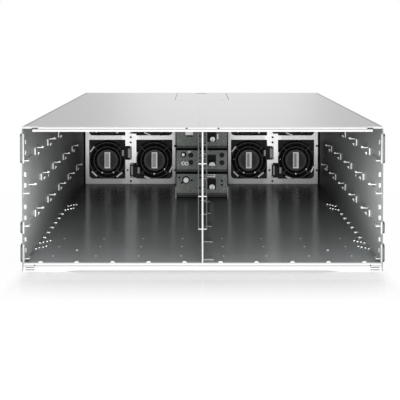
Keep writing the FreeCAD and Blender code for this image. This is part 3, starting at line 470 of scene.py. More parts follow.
def on_divider_hem(middle, normal):
    """True for the front of the divider's folded edge."""
    return at_front(middle, normal) and abs(middle.x) < SHEET


def on_guide_shelf(middle, normal):
    """True for the front ends of the shelves of the divider's guides."""
    return abs(middle.y - GUIDE_FACE) < SKIN and abs(middle.x) < LEG_IN - SKIN


def on_guide_leg(middle, normal):
    """True for the front ends of the upright legs of the divider's guides."""
    return abs(middle.y - GUIDE_FACE) < SKIN and abs(middle.x) > LEG_IN - SKIN


def on_deep_left_tab(middle, normal):
    """True for the faces of the guide tabs on the left of the divider, behind the front ones."""
    return middle.x < -SHEET and middle.y - FRONT > DEEP_TABS


def on_hem(middle, normal):
    """True for the front of the cover's folded edge, its bend included."""
    return at_front(middle, normal) and normal.y < -BENT


def in_hem_groove(middle, normal):
    """True for the faces inside the seam of the cover's folded edge."""
    return at_front(middle, normal) and HEM_GROOVE[0] < middle.z < HEM_GROOVE[1]


def in_lip_groove(middle, normal):
    """True for the faces inside the short grooves at the ends of the front lip."""
    depth = middle.y - FRONT
    return abs(middle.x) > GROOVE_START and SKIN < depth < GROOVE_DEPTH + SKIN and middle.z > SKIN


def paint_nodes():
    """Main material of each node of the frame."""
    paint("base_pan", floor_steel)
    paint("center_divider", divider_steel)
    for side in SIDE_NAMES:
        paint(f"side_wall_{side}", wall_steel)
        # painted shade: the brackets dark so their edges read as a shaded outline
        paint(f"side_bracket_{side}", shaded_bracket_steel)
        paint(f"fan_frame_{side}", frame_steel)
    paint("power_cage", frame_steel)
    for node in ("top_cover", "access_panel"):
        paint(node, cover_steel)
    for node in ("fan_sockets", "tray_plugs", "module_sockets"):
        paint(node, black_plastic)
    paint("board_studs", white_plastic)
    for number in range(1, FAN_COUNT + 1):
        paint(f"fan_housing_{number}", black_plastic)
        paint(f"fan_rotor_{number}", rotor_plastic)
        paint(f"fan_guard_{number}", guard_paint)
    for number in range(1, BOARD_COUNT + 1):
        paint(f"power_board_{number}", board_mask)
        paint(f"power_module_{number}", case_metal)
        paint(f"module_handle_{number}", black_plastic)
        paint(f"module_latch_{number}", latch_plastic)


def paint_details():
    """Other materials of the faces that are chosen by their place or direction, most of them painted light
    and shade.
    """
    # Painted shade: the fronts of the power modules and the faces inside the power cage nearly black.
    for number in range(1, BOARD_COUNT + 1):
        paint_faces(f"power_module_{number}", shade_and_print_black, faces_front)
    paint_faces("power_cage", shade_and_print_black, inside_cage)
    paint_faces("base_pan", outer_steel, outside_pan)
    paint_faces("base_pan", lip_steel, at_front)
    # Painted shade: the short grooves at the ends of the front lip black inside.
    paint_faces("base_pan", black_and_painted_shade, in_lip_groove)
    # Painted shade: the guide tabs on the left of the divider, behind the front ones, nearly black.
    paint_faces("center_divider", shade_and_print_black, on_deep_left_tab)
    # Painted light: the fronts of the divider's folded edge and of its guide shelves paler than the
    # divider.
    paint_faces("center_divider", pale_and_painted_light_steel, on_divider_hem)
    paint_faces("center_divider", pale_and_painted_light_steel, on_guide_shelf)
    # Painted shade: the front ends of the guide legs dim.
    paint_faces("center_divider", painted_shade_leg_steel, on_guide_leg)
    # Painted light: the front of the cover's folded edge, its bend included, paler than the cover.
    paint_faces("top_cover", pale_and_painted_light_steel, on_hem)
    # Painted shade: the seam groove of the cover's folded edge dark inside.
    paint_faces("top_cover", dull_and_painted_shade_steel, in_hem_groove)
    # Painted shade: the upright faces along the access panel's seam black.
    for node in ("top_cover", "access_panel"):
        paint_faces(node, black_and_painted_shade, on_panel_seam)
    for side in SIDE_NAMES:
        paint_faces(f"side_wall_{side}", outer_steel, outside_wall)
        # Painted highlight: the ends of the lanced tabs near-white, growing darker towards the fans with
        # painted shade.
        paint_faces(f"side_wall_{side}", tab_highlight_and_shade, faces_front_inside)
        paint_faces(f"side_wall_{side}", dull_and_painted_shade_steel, on_cut_edge)


class Piece:
    """Mesh that is built up from simple solids and then rides on a body."""

    def __init__(self, name):
        self.name = name
        self.mesh = bmesh.new()

    def block(self, corner, opposite):
        """Box between two opposite corners."""
        corner = Vector(corner)
        opposite = Vector(opposite)
        size = [abs(length) for length in opposite - corner]
        place = Matrix.Translation((corner + opposite) / 2) @ Matrix.Diagonal((*size, 1))
        bmesh.ops.create_cube(self.mesh, size=1, matrix=place)

    def disc(self, centre, axis, radius, depth, segments, tip=None):
        """Round plate or, with a smaller tip, a cone stump, from its centre along an axis."""
        axis = Vector(axis)
        turn = axis.to_track_quat("Z", "Y").to_matrix().to_4x4()
        place = Matrix.Translation(Vector(centre) + axis * depth / 2) @ turn
        end = radius if tip is None else tip
        bmesh.ops.create_cone(self.mesh, cap_ends=True, segments=segments, radius1=radius, radius2=end,
                              depth=depth, matrix=place)

    def plate(self, outline, front, back):
        """Flat plate from an outline of (x, z) points, between two depths."""
        rows = []
        for y in (front, back):
            rows.append([self.mesh.verts.new((x, y, z)) for x, z in outline])
            self.mesh.faces.new(rows[-1])
        for n in range(len(outline)):
            k = (n + 1) % len(outline)
            self.mesh.faces.new((rows[0][n], rows[0][k], rows[1][k], rows[1][n]))

    def washer(self, centre, inner, outer, depth, segments=32):
        """Flat ring that stands across Y, from its rear face towards the front."""
        rows = []
        for radius, y in ((inner, 0), (outer, 0), (outer, -depth), (inner, -depth)):
            row = []
            for n in range(segments):
                turn = 2 * math.pi * n / segments
                spot = Vector((radius * math.cos(turn), y, radius * math.sin(turn)))
                row.append(self.mesh.verts.new(Vector(centre) + spot))
            rows.append(row)
        for n in range(segments):
            k = (n + 1) % segments
            for m in range(len(rows)):
                after = rows[(m + 1) % len(rows)]
                self.mesh.faces.new((rows[m][n], rows[m][k], after[k], after[n]))

    def ring(self, centre, axis, radius, wire, segments=48, sides=8):
        """Round wire bent to a ring."""
        turn = Vector(axis).to_track_quat("Z", "Y").to_matrix()
        rows = []
        for n in range(segments):
            a = 2 * math.pi * n / segments
            row = []
            for m in range(sides):
                b = 2 * math.pi * m / sides
                reach = radius + wire * math.cos(b)
                spot = Vector((reach * math.cos(a), reach * math.sin(a), wire * math.sin(b)))
                row.append(self.mesh.verts.new(Vector(centre) + turn @ spot))
            rows.append(row)
        for n in range(segments):
            after = rows[(n + 1) % segments]
            for m in range(sides):
                k = (m + 1) % sides
                self.mesh.faces.new((rows[n][m], after[m], after[k], rows[n][k]))

    def bar(self, start, end, wire, sides=8):
        """Straight round wire."""
        start = Vector(start)
        run = Vector(end) - start
        self.disc(start, run.normalized(), wire, run.length, sides)

    def finish(self, material, body):
        """Turn the mesh into an object that rides on a body."""
        data = bpy.data.meshes.new(self.name)
        bmesh.ops.recalc_face_normals(self.mesh, faces=self.mesh.faces)
        self.mesh.to_mesh(data)
        self.mesh.free()
        piece = bpy.data.objects.new(self.name, data)
        bpy.context.scene.collection.objects.link(piece)
        data.materials.append(material)
        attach(piece, body)


# Fan fronts
GUARD_PLANE = FAN_FRONT + 1.2 * MM
GUARD_RINGS = (25 * MM, 33 * MM)
GUARD_WIRE = 0.7 * MM
GUARD_TURN = 22
DIAGONALS = (45, 135, 225, 315)
BORE_RADIUS = 37.2 * MM
CLIP_RADIUS = 35 * MM
CLIP_REACH = 6.5 * MM
CLIP_WIRE = 1.2 * MM
CLIP_TURNS = (143, 226, 310)
WELD_RADIUS = 1.3 * MM
WELD_SIDES = 12
WELD_TURNS = (247, 297)
HUB_CAP_RADIUS = 15 * MM
HUB_CAP_DEPTH = 0.3 * MM
HUB_CAP_SIDES = 40
LABEL_WIDTH = 10.4 * MM
LABEL_HEIGHT = 30 * MM
LABEL_DEPTH = 0.2 * MM
LABEL_ROWS = ((-3.0 * MM, 1.3 * MM), (-0.7 * MM, 1.7 * MM), (1.9 * MM, 1.2 * MM))
LABEL_ROW_HALF = 13 * MM


def fan_centre(number):
    """Axis of a fan as (x, z)."""
    low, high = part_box(f"fan_guard_{number}")
    return (low.x + high.x) / 2, high.z - FAN_SIZE / 2


def around(x, y, z, radius, degrees):
    """Point on a circle about a fan's axis."""
    turn = math.radians(degrees)
    return x + radius * math.cos(turn), y, z + radius * math.sin(turn)


def add_fan_guard(number):
    """Wire guard in the mouth of a fan, with its welds and its clips; welds and clips are near-white,
    painted highlights of shiny wire and metal.
    """
    x, z = fan_centre(number)
    wires = Piece(f"fan_wires_{number}")
    welds = Piece(f"fan_welds_{number}")
    for radius in GUARD_RINGS:
        wires.ring((x, GUARD_PLANE, z), TOWARDS_FRONT, radius, GUARD_WIRE)
    for degrees in DIAGONALS:
        inner = around(x, GUARD_PLANE, z, GUARD_RINGS[0], degrees)
        wires.bar(inner, around(x, GUARD_PLANE, z, BORE_RADIUS, degrees), GUARD_WIRE)
    turn = GUARD_TURN * ((number + 1) % 2)
    for degrees in CLIP_TURNS:
        corner = Vector(around(x, GUARD_PLANE, z, CLIP_RADIUS, degrees + turn))
        slope = Vector(around(0, 0, 0, CLIP_REACH, degrees + turn + QUARTER_TURN))
        welds.bar(corner - slope, corner + slope, CLIP_WIRE)
    for degrees in WELD_TURNS:
        spot = around(x, GUARD_PLANE, z, GUARD_RINGS[0], degrees + turn)
        welds.disc(spot, TOWARDS_FRONT, WELD_RADIUS, GUARD_WIRE + SKIN, WELD_SIDES)
    body = f"fan_module_{number}"
    wires.finish(wire_metal, body)
    welds.finish(zinc_and_painted_glint, body)


def add_hub_label(number):
    """Cap on the hub of a fan and its label, ruled but bare."""
    x, z = fan_centre(number)
    body = f"rotor_{number}"
    cap = Piece(f"fan_cap_{number}")
    cap.disc((x, HUB_FRONT, z), TOWARDS_FRONT, HUB_CAP_RADIUS, HUB_CAP_DEPTH, HUB_CAP_SIDES)
    cap.finish(hub_plastic, body)
    label = Piece(f"fan_label_{number}")
    back = HUB_FRONT - HUB_CAP_DEPTH
    face = back - LABEL_DEPTH
    label.block((x - LABEL_WIDTH / 2, face, z - LABEL_HEIGHT / 2),
                (x + LABEL_WIDTH / 2, back, z + LABEL_HEIGHT / 2))
    label.finish(label_paper, body)
    rows = Piece(f"label_rows_{number}")
    for offset, width in LABEL_ROWS:
        rows.block((x + offset - width / 2, face - SKIN, z - LABEL_ROW_HALF),
                   (x + offset + width / 2, face, z + LABEL_ROW_HALF))
    rows.finish(shade_and_print_black, body)


# Fan rears
SHROUD_IN = 27 * MM
SHROUD_OUT = 37.4 * MM
SHROUD_REAR = FAN_FRONT + FAN_DEPTH - 0.8 * MM
SHROUD_SHEET = 2 * MM
COLLAR_IN = 19 * MM
COLLAR_OUT = 26.6 * MM
COLLAR_DEPTH = 1 * MM
GRID_PLANE = (FAN_FRONT + FAN_DEPTH + REAR) / 2
GRID_PITCH = 7 * MM
GRID_WIRE = 0.6 * MM
GRID_BORDER = 4 * MM
SCREW_RADIUS = 1.8 * MM
SCREW_DEPTH = 0.6 * MM
SCREW_SIDES = 16
SCREW_TAPER = 0.8
GUARD_SCREW_RADIUS = GRID_BORDER / 3
GUARD_SCREW_INSET = 2 * MM


def add_screw(piece, centre, axis, radius):
    """Low screw head."""
    piece.disc(centre, axis, radius, SCREW_DEPTH, SCREW_SIDES, radius * SCREW_TAPER)


def add_fan_rings(number):
    """Ring in the housing of a fan and collar on its hub, both behind the blades."""
    x, z = fan_centre(number)
    shroud = Piece(f"fan_shroud_{number}")
    shroud.washer((x, SHROUD_REAR, z), SHROUD_IN, SHROUD_OUT, SHROUD_SHEET)
    shroud.finish(black_plastic, f"fan_module_{number}")
    collar = Piece(f"hub_collar_{number}")
    collar.washer((x, HUB_REAR, z), COLLAR_IN, COLLAR_OUT, COLLAR_DEPTH)
    collar.finish(rotor_plastic, f"rotor_{number}")


def add_rear_guard(number):
    """Upright wires of a fan's rear guard and its corner screws."""
    low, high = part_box(f"fan_guard_{number}")
    width = high.x - low.x - 2 * GRID_BORDER
    count = int(width / GRID_PITCH)
    wires = Piece(f"guard_wires_{number}")
    for n in range(1, count + 1):
        x = low.x + GRID_BORDER + n * width / (count + 1)
        wires.bar((x, GRID_PLANE, low.z + GRID_BORDER), (x, GRID_PLANE, high.z - GRID_BORDER), GRID_WIRE)
    wires.finish(guard_paint, f"fan_module_{number}")
    screws = Piece(f"guard_screws_{number}")
    for x in (low.x + GUARD_SCREW_INSET, high.x - GUARD_SCREW_INSET):
        for z in (low.z + GUARD_SCREW_INSET, high.z - GUARD_SCREW_INSET):
            add_screw(screws, (x, REAR, z), TOWARDS_REAR, GUARD_SCREW_RADIUS)
    screws.finish(polished, f"fan_module_{number}")


# Sockets in the posts of the fan frames and plugs of the fans
SOCKET_FACE = FAN_PLANE - 3 * MM
SOCKET_OFFSET = 2.4 * MM
UPPER_SOCKET = 57.6 * MM
LOWER_SOCKET = 25.2 * MM
CONTACT_HEIGHT = 17 * MM
CONTACT_DEPTH = 0.3 * MM
UPPER_CONTACT = 5.4 * MM
LOWER_CONTACT = 2.6 * MM
PLUG_FACE = FAN_FRONT - 3.5 * MM
PLUG_OFFSET = 14.5 * MM
PLUG_BAND_WIDTH = 3.4 * MM
PLUG_BAND_HEIGHT = 11 * MM
FAN_ROWS = (FLOOR, FLOOR + ROW_PITCH)


def bank_middle(side):
    """Middle of a fan frame across the chassis."""
    low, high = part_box(f"fan_frame_{side}")
    return (low.x + high.x) / 2


def add_socket_faces():
    """Grey contact strips on the fan sockets."""
    contacts = Piece("socket_contacts")
    for side in SIDE_NAMES:
        bank = bank_middle(side)
        for foot in FAN_ROWS:
            for x, z, width in ((bank - SOCKET_OFFSET, foot + UPPER_SOCKET, UPPER_CONTACT),
                                (bank + SOCKET_OFFSET, foot + LOWER_SOCKET, LOWER_CONTACT)):
                contacts.block((x - width / 2, SOCKET_FACE - CONTACT_DEPTH, z - CONTACT_HEIGHT / 2),
                               (x + width / 2, SOCKET_FACE, z + CONTACT_HEIGHT / 2))
    contacts.finish(grey_plastic, "chassis")


def add_plug_band(number):
    """Pale band on the plug of a fan."""
    x, z = fan_centre(number)
    bank = bank_middle("left" if x < 0 else "right")
    foot = FAN_ROWS[0] if z < ROW_PITCH else FAN_ROWS[1]
    height = foot + (UPPER_SOCKET if x < bank else LOWER_SOCKET)
    centre = bank + math.copysign(PLUG_OFFSET, x - bank)
    band = Piece(f"plug_band_{number}")
    band.block((centre - PLUG_BAND_WIDTH / 2, PLUG_FACE - CONTACT_DEPTH, height - PLUG_BAND_HEIGHT / 2),
               (centre + PLUG_BAND_WIDTH / 2, PLUG_FACE, height + PLUG_BAND_HEIGHT / 2))
    band.finish(grey_plastic, f"fan_module_{number}")


# Holes of the fan frames, as (x, rise) from the middle of a frame and the foot of a row
FRAME_HOLES = ((0, 4.8 * MM), (-5.9 * MM, 25.2 * MM), (0, 77.2 * MM),
               (82.2 * MM, 25.2 * MM), (82.2 * MM, 70.6 * MM))
FRAME_HOLE_RADIUS = 2.1 * MM
FRAME_HOLE_SIDES = 6
FRAME_GAP = 3 * MM
CAGE_GAP = 4 * MM
CAGE_FOOT = 20 * MM


def add_frame_hole_shade():
    """Painted shade: black discs at the ends of the small holes in the fan frames, and black strips in the
    gaps at the frames' upright edges and on the front edges of the power cage's side sheets.
    """
    ends = Piece("frame_hole_painted_shade")
    for side in SIDE_NAMES:
        low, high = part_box(f"fan_frame_{side}")
        bank = bank_middle(side)
        for foot in FAN_ROWS:
            for x, rise in FRAME_HOLES:
                spot = (bank + x, FAN_PLANE + SHEET, foot + rise)
                ends.disc(spot, TOWARDS_FRONT, FRAME_HOLE_RADIUS, 2 * SKIN, FRAME_HOLE_SIDES)
        outer, inner = (low.x, high.x) if bank < 0 else (high.x, low.x)
        for edge, width in ((outer, FRAME_GAP), (inner, CAGE_GAP)):
            within = edge + math.copysign(width, bank - edge)
            ends.block((edge, FAN_PLANE - SKIN, FLOOR), (within, FAN_PLANE, high.z))
    for side in SIDES:
        ends.block((side * cage_high.x, cage_low.y - SKIN, FLOOR + CAGE_FOOT),
                   (side * (cage_high.x - SHEET), cage_low.y, cage_high.z))
    ends.finish(black_and_painted_shade, "chassis")


# Floor
DOT_COLUMNS = (26.8 * MM, 80.4 * MM, 134 * MM, 188 * MM)
DOT_DEPTHS = (40 * MM, 96 * MM, 148 * MM)
DOT_RADIUS = 1.3 * MM
DOT_HEIGHT = 0.35 * MM
DOT_SIDES = 10
STUD_X = 162 * MM
STUD_DEPTH = 74 * MM
STUD_RADIUS = 1.7 * MM
STUD_HEIGHT = 0.8 * MM
STUD_SIDES = 14
TAB_FIRST = 83 * MM
TAB_PITCH = 36.5 * MM
TAB_COUNT = 10
TAB_GAP = 0.4 * MM
TAB_WIDTH = 4 * MM
TAB_LENGTH = 1.8 * MM
TAB_HEIGHT = 0.7 * MM
CLUSTER_TABS = (0, 1, 8, 9)
CLUSTER_GAPS = (1.0 * MM, 5.0 * MM, 9.0 * MM, 12.5 * MM)
CLUSTER_SLANT = 5 * MM
CLUSTER_WIDTH = 2 * MM


def add_floor_dots():
    """Rivets and a larger stud on each half of the floor, near-white as painted highlights on their bumps.
    """
    dots = Piece("floor_dots")
    for side in SIDES:
        for x in DOT_COLUMNS:
            for depth in DOT_DEPTHS:
                spot = (side * x, FRONT + depth, FLOOR)
                dots.disc(spot, UPWARDS, DOT_RADIUS, DOT_HEIGHT, DOT_SIDES, DOT_RADIUS / 2)
        spot = (side * STUD_X, FRONT + STUD_DEPTH, FLOOR)
        dots.disc(spot, UPWARDS, STUD_RADIUS, STUD_HEIGHT, STUD_SIDES, STUD_RADIUS / 2)
    dots.finish(zinc_and_painted_glint, "chassis")


def add_floor_tabs():
    """Small tabs along the foot of the walls, in slanting groups at the ends of a row, near-white as
    painted highlights.
    """
    tabs = Piece("floor_tabs")
    single = [(TAB_GAP, TAB_WIDTH, 0)]
    group = [(gap, CLUSTER_WIDTH, k * CLUSTER_SLANT) for k, gap in enumerate(CLUSTER_GAPS)]
    for side in SIDES:
        for n in range(TAB_COUNT):
            spots = group if n in CLUSTER_TABS else single
            for gap, width, back in spots:
                x = WALL_IN - gap
                y = FRONT + TAB_FIRST + n * TAB_PITCH + back
                tabs.block((side * x, y, FLOOR), (side * (x - width), y + TAB_LENGTH, FLOOR + TAB_HEIGHT))
    tabs.finish(painted_highlight_steel, "chassis")


# Strips between the guides of the divider, as heights of their ends
LEG_SPANS = ((64 * MM, 90.9 * MM), (104.1 * MM, 130.9 * MM), (144.1 * MM, 171 * MM))


def add_guide_strips():
    """Thin upright strips that join the legs of the divider's guides to the shelves above, dim with painted
    shade.
    """
    strips = Piece("guide_strips")
    for side in SIDES:
        for low, high in LEG_SPANS:
            strips.block((side * LEG_IN, GUIDE_FACE, low), (side * LEG_OUT, GUIDE_FACE + SHEET, high))
    strips.finish(painted_shade_leg_steel, "chassis")


# Power boards
PART_DEPTH = 1.6 * MM
PART_SIDES = 20
CAN_DEPTH = 3 * MM
RING_DEPTH = 0.4 * MM
PLUG_DEPTH = 11 * MM
PLUG_HALF = 8.5 * MM
DOME_DEPTH = 0.5 * MM
DOME_STEPS = 24
DOME_CENTRE_SIDES = 16
DOME_TO_CENTRE = 3
COIL_RADIUS = 2.6 * MM
COIL_WIRE = 1.0 * MM
COIL_SIDES = 6

# Parts of the boards in mm from the middle of a board: (x, rise), (x, rise, radius), (x0, x1, rise0, rise1)
SHADOW_ABOVE = (-42.6, 42.6, 16.2, 18.8)
SCREW_SPOT = 1.8
LOW_DOME = (17.4, -4.7, 4.7)
LOW_STUD = (-26.8, 6.1)
LOW_STUD_RING = 6.5
LOW_SCREWS = ((-39.9, -9.8), (37.1, -10.1), (37.5, 11.2))
LOW_HOLES = ((-38, 10.2), (-33.6, 1.2), (-17.2, 5.3), (34, 4.3), (34, -2.5))
STRIP = (1.7, 22.6, 11.2, 16)
STRIP_EDGES = ((1.7, 22.6, 11.2, 12.4), (9, 21.4, 15.2, 16), (21.4, 22.6, 12.4, 16))
EVEN_DOME = (17.4, -8, 5.4)
EVEN_STUD = (-31.2, 8.8)
EVEN_STUD_RING = 4.8
EVEN_SCREW = (-39.9, -7.8)
CANS = ((-18.6, 8.2), (-18.6, -4.2), (34, 8.2), (34, -4.6))
CAN_RADIUS = 4.2
CAN_TOP_RADIUS = 1.6
CHIP = (-24, -18, 11, 15.6)
COILS = ((-31.5, -6), (-25.5, -6.4))
THIRD_DOME = (18.1, -4.1, 4.2)
THIRD_SCREWS = ((-39.9, -7.8), (37, -7.8))
HEADER = (-27.7, -15, 2.2, 8.1)
HEADER_FOOT = (-26, -15.4, -0.4, 1.4)
WHITE_BAR = (25.7, 28, -5.1, 3.6)


class Board:
    """Front of one power board, on which small parts stand."""

    def __init__(self, number):
        self.number = number
        low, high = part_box(f"power_board_{number}")
        self.face = low.y
        self.middle = (low.z + high.z) / 2

    def disc(self, name, material, places, radius, depth=PART_DEPTH):
        """Round parts of one kind."""
        piece = Piece(f"board_{name}_{self.number}")
        for x, rise in places:
            spot = (x * MM, self.face, self.middle + rise * MM)
            piece.disc(spot, TOWARDS_FRONT, radius * MM, depth, PART_SIDES)
        piece.finish(material, "chassis")

    def block(self, name, material, spans, depth=PART_DEPTH):
        """Box-shaped parts of one kind."""
        piece = Piece(f"board_{name}_{self.number}")
        for x0, x1, rise0, rise1 in spans:
            piece.block((x0 * MM, self.face - depth, self.middle + rise0 * MM),
                        (x1 * MM, self.face, self.middle + rise1 * MM))
        piece.finish(material, "chassis")

    def coils(self, places):
        """Bare wire rings that stand on the board."""
        piece = Piece(f"board_coils_{self.number}")
        for x, rise in places:
            spot = (x * MM, self.face - COIL_WIRE, self.middle + rise * MM)
            piece.ring(spot, TOWARDS_FRONT, COIL_RADIUS, COIL_WIRE, PART_SIDES, COIL_SIDES)
        piece.finish(zinc_and_painted_glint, "chassis")

    def dome(self, x, rise, radius):
        """White dome on the lower part of the plug, flat where the plug ends, with a grey centre."""
        back = self.face - PLUG_DEPTH
        bottom = self.middle - PLUG_HALF
        outline = []
        for n in range(DOME_STEPS):
            turn = 2 * math.pi * n / DOME_STEPS
            z = self.middle + (rise + radius * math.sin(turn)) * MM
            outline.append(((x + radius * math.cos(turn)) * MM, max(bottom, z)))
        dome = Piece(f"plug_dome_{self.number}")
        dome.plate(outline, back - DOME_DEPTH, back)
        dome.finish(white_plastic, "chassis")
        centre = Piece(f"dome_centre_{self.number}")
        spot = (x * MM, back - DOME_DEPTH, self.middle + (rise - radius / 2) * MM)
        centre.disc(spot, TOWARDS_FRONT, radius / DOME_TO_CENTRE * MM, SKIN, DOME_CENTRE_SIDES)
        centre.finish(grey_plastic, "chassis")


def add_low_board(board):
    """Parts of the lowest board: a stud's ring, screws, holes as black dots of painted shade, and an edge
    strip.
    """
    board.dome(*LOW_DOME)
    board.disc("stud_ring", black_and_painted_shade, [LOW_STUD], LOW_STUD_RING, RING_DEPTH)
    board.disc("screws", dull_and_painted_shade_steel, LOW_SCREWS, SCREW_SPOT)
    board.disc("holes", black_and_painted_shade, LOW_HOLES, SCREW_SPOT, SKIN)
    board.block("strip", grey_plastic, [STRIP])
    board.block("strip_edge", zinc_and_painted_glint, STRIP_EDGES, CAN_DEPTH)


def add_even_board(board):
    """Parts of the second and fourth board: a stud's ring, a screw, cans, a chip and coils."""
    board.dome(*EVEN_DOME)
    board.disc("stud_ring", black_and_painted_shade, [EVEN_STUD], EVEN_STUD_RING, RING_DEPTH)
    board.disc("screws", dull_and_painted_shade_steel, [EVEN_SCREW], SCREW_SPOT)
    board.disc("cans", black_plastic, CANS, CAN_RADIUS, CAN_DEPTH)
    board.disc("can_tops", hub_plastic, CANS, CAN_TOP_RADIUS, CAN_DEPTH + SKIN)
    board.block("chip", pale_and_painted_light_steel, [CHIP])
    board.coils(COILS)


def add_third_board(board):
    """Parts of the third board: screws, a header and a white bar."""
    board.dome(*THIRD_DOME)
    board.disc("screws", dull_and_painted_shade_steel, THIRD_SCREWS, SCREW_SPOT)
    board.block("header", zinc_and_painted_glint, [HEADER], CAN_DEPTH)
    board.block("header_foot", black_and_painted_shade, [HEADER_FOOT], CAN_DEPTH)
    board.block("bar", white_plastic, [WHITE_BAR], CAN_DEPTH)


BOARD_KINDS = (add_low_board, add_even_board, add_third_board, add_even_board)


def add_board_parts(number):
    """Painted shadow, a black strip above a power board, and the small parts of its kind."""
    board = Board(number)
    board.block("gap", black_and_painted_shade, [SHADOW_ABOVE], SKIN)
    BOARD_KINDS[number - 1](board)


# Rears of the power modules
INLET_LOW = 0.5 * MM
INLET_HIGH = 27.5 * MM
INLET_HALF = 10 * MM
INLET_DEPTH = 12 * MM
INLET_SKIN = 0.8 * MM
PIN_PLACES = ((8 * MM, -3 * MM), (20 * MM, -3 * MM), (14 * MM, 3.5 * MM))
PIN_WIDTH = 2 * MM
PIN_HEIGHT = 4.4 * MM
LENS_X = 31 * MM
LENS_RISE = 13 * MM
LENS_RADIUS = 1.5 * MM
LENS_TAPER = 0.7
MODULE_SCREW_INSET = 3 * MM


def module_rear(number):
    """Depth of a power module's rear face and height of its middle."""
    low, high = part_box(f"power_module_{number}")
    handle_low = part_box(f"module_handle_{number}")[0]
    return handle_low.y, (low.z + high.z) / 2


def add_inlet(number):
    """Lining and pins of a power inlet."""
    rear, z = module_rear(number)
    back = rear - INLET_DEPTH
    floor = back + INLET_SKIN
    lining = Piece(f"inlet_{number}")
    lining.block((INLET_LOW, back, z - INLET_HALF), (INLET_HIGH, floor, z + INLET_HALF))
    for x in (INLET_LOW, INLET_HIGH - INLET_SKIN):
        lining.block((x, floor, z - INLET_HALF), (x + INLET_SKIN, rear, z + INLET_HALF))
    for rise in (-INLET_HALF, INLET_HALF - INLET_SKIN):
        lining.block((INLET_LOW + INLET_SKIN, floor, z + rise),
                     (INLET_HIGH - INLET_SKIN, rear, z + rise + INLET_SKIN))
    lining.finish(black_plastic, f"power_unit_{number}")
    pins = Piece(f"inlet_pins_{number}")
    for x, rise in PIN_PLACES:
        pins.block((x - PIN_WIDTH / 2, floor, z + rise - PIN_HEIGHT / 2),
                   (x + PIN_WIDTH / 2, rear - PIN_WIDTH, z + rise + PIN_HEIGHT / 2))
    pins.finish(polished, f"power_unit_{number}")


def add_module_trim(number):
    """Lens beside a power inlet and two screws."""
    low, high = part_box(f"power_module_{number}")
    rear, z = module_rear(number)
    lens = Piece(f"module_lens_{number}")
    spot = (LENS_X, rear, z + LENS_RISE)
    lens.disc(spot, TOWARDS_REAR, LENS_RADIUS, SCREW_DEPTH, SCREW_SIDES, LENS_RADIUS * LENS_TAPER)
    lens.finish(lens_green, f"power_unit_{number}")
    screws = Piece(f"module_screws_{number}")
    for x in (low.x + MODULE_SCREW_INSET, high.x - MODULE_SCREW_INSET):
        add_screw(screws, (x, rear, z - LENS_RISE), TOWARDS_REAR, SCREW_RADIUS)
    screws.finish(polished, f"power_unit_{number}")


# Outsides of the walls
BRACKET_SHEET = 2.2 * MM
BRACKET_RIVET_DEPTH = 44 * MM
BRACKET_RIVETS = (22 * MM, 53 * MM, 110 * MM, 150 * MM)
RIVET_RADIUS = 2.4 * MM
RIVET_HEIGHT = 0.5 * MM
RIVET_SIDES = 18
SEAM_RIVET_HEIGHT = 6 * MM
SEAM_RIVET_FIRST = 40 * MM
SEAM_RIVET_PITCH = 125 * MM
SEAM_RIVET_COUNT = 6


def add_wall_rivets():
    """Rivets through the brackets and along the foot of the walls."""
    bracket = cad_high.x - RIVET_HEIGHT
    wall = cad_high.x - BRACKET_SHEET
    seam = [FRONT + SEAM_RIVET_FIRST + n * SEAM_RIVET_PITCH for n in range(SEAM_RIVET_COUNT)]
    places = [(bracket, FRONT + BRACKET_RIVET_DEPTH, height) for height in BRACKET_RIVETS]
    places += [(wall, y, SEAM_RIVET_HEIGHT) for y in seam]
    rivets = Piece("wall_rivets")
    for side in SIDES:
        for x, y, z in places:
            spot = (side * x, y, z)
            rivets.disc(spot, (side, 0, 0), RIVET_RADIUS, RIVET_HEIGHT, RIVET_SIDES, RIVET_RADIUS / 2)
    rivets.finish(polished, "chassis")


# Paint and pieces of the whole part
paint_nodes()
paint_details()
for fan in range(1, FAN_COUNT + 1):
    add_fan_guard(fan)
    add_hub_label(fan)
    add_fan_rings(fan)
    add_rear_guard(fan)
    add_plug_band(fan)
add_socket_faces()
add_frame_hole_shade()
add_floor_dots()
add_floor_tabs()
add_guide_strips()
for level in range(1, BOARD_COUNT + 1):
    add_board_parts(level)
    add_inlet(level)
    add_module_trim(level)
add_wall_rivets()

# Studio
STAGE_SIZE = 30
STAGE_WHITE = (0.97, 0.97, 0.97, 1)
WORLD_WHITE = (1, 1, 1, 1)
WORLD_LIGHT = 1.0
FADE_LENGTH = 0.135
SHADOW_HALF = 0.205
SIDE_FADE = 6.0
UNDER_FADE = 16.0
MIRROR_SHARE = 0.2
MIRROR_ROUGHNESS = 0.08
NEAR_GLOW = 0.15
FAR_GLOW = 0.95
FRONT_BOX = {"place": (0, -2.3, 0.14), "target": (0, 0.3, 0.09), "size": (0.5, 0.25), "power": 30}
BACK_BOX = {"place": (0.07, 2.6, 0.9), "target": (0, 0, TOP), "size": (0.8, 0.5), "power": 1.86}


def seen_ray(material):
    """Sockets that are 1 for camera, reflected and transmitted rays, and for camera rays alone."""
    path = add_node(material, "ShaderNodeLightPath").outputs
    total = path["Is Camera Ray"]
    for name in ("Is Glossy Ray", "Is Transmission Ray"):
        add = add_node(material, "ShaderNodeMath", operation="ADD", use_clamp=True)
        link(material, total, add.inputs[0])
        link(material, path[name], add.inputs[1])
        total = add.outputs["Value"]
    return total, path["Is Camera Ray"]


def mixed(material, share, first, second):
    """Shader between two others."""
    node = add_node(material, "ShaderNodeMixShader")
    link(material, share, node.inputs["Fac"])
    link(material, first, node.inputs[1])
    link(material, second, node.inputs[2])
    return node.outputs["Shader"]


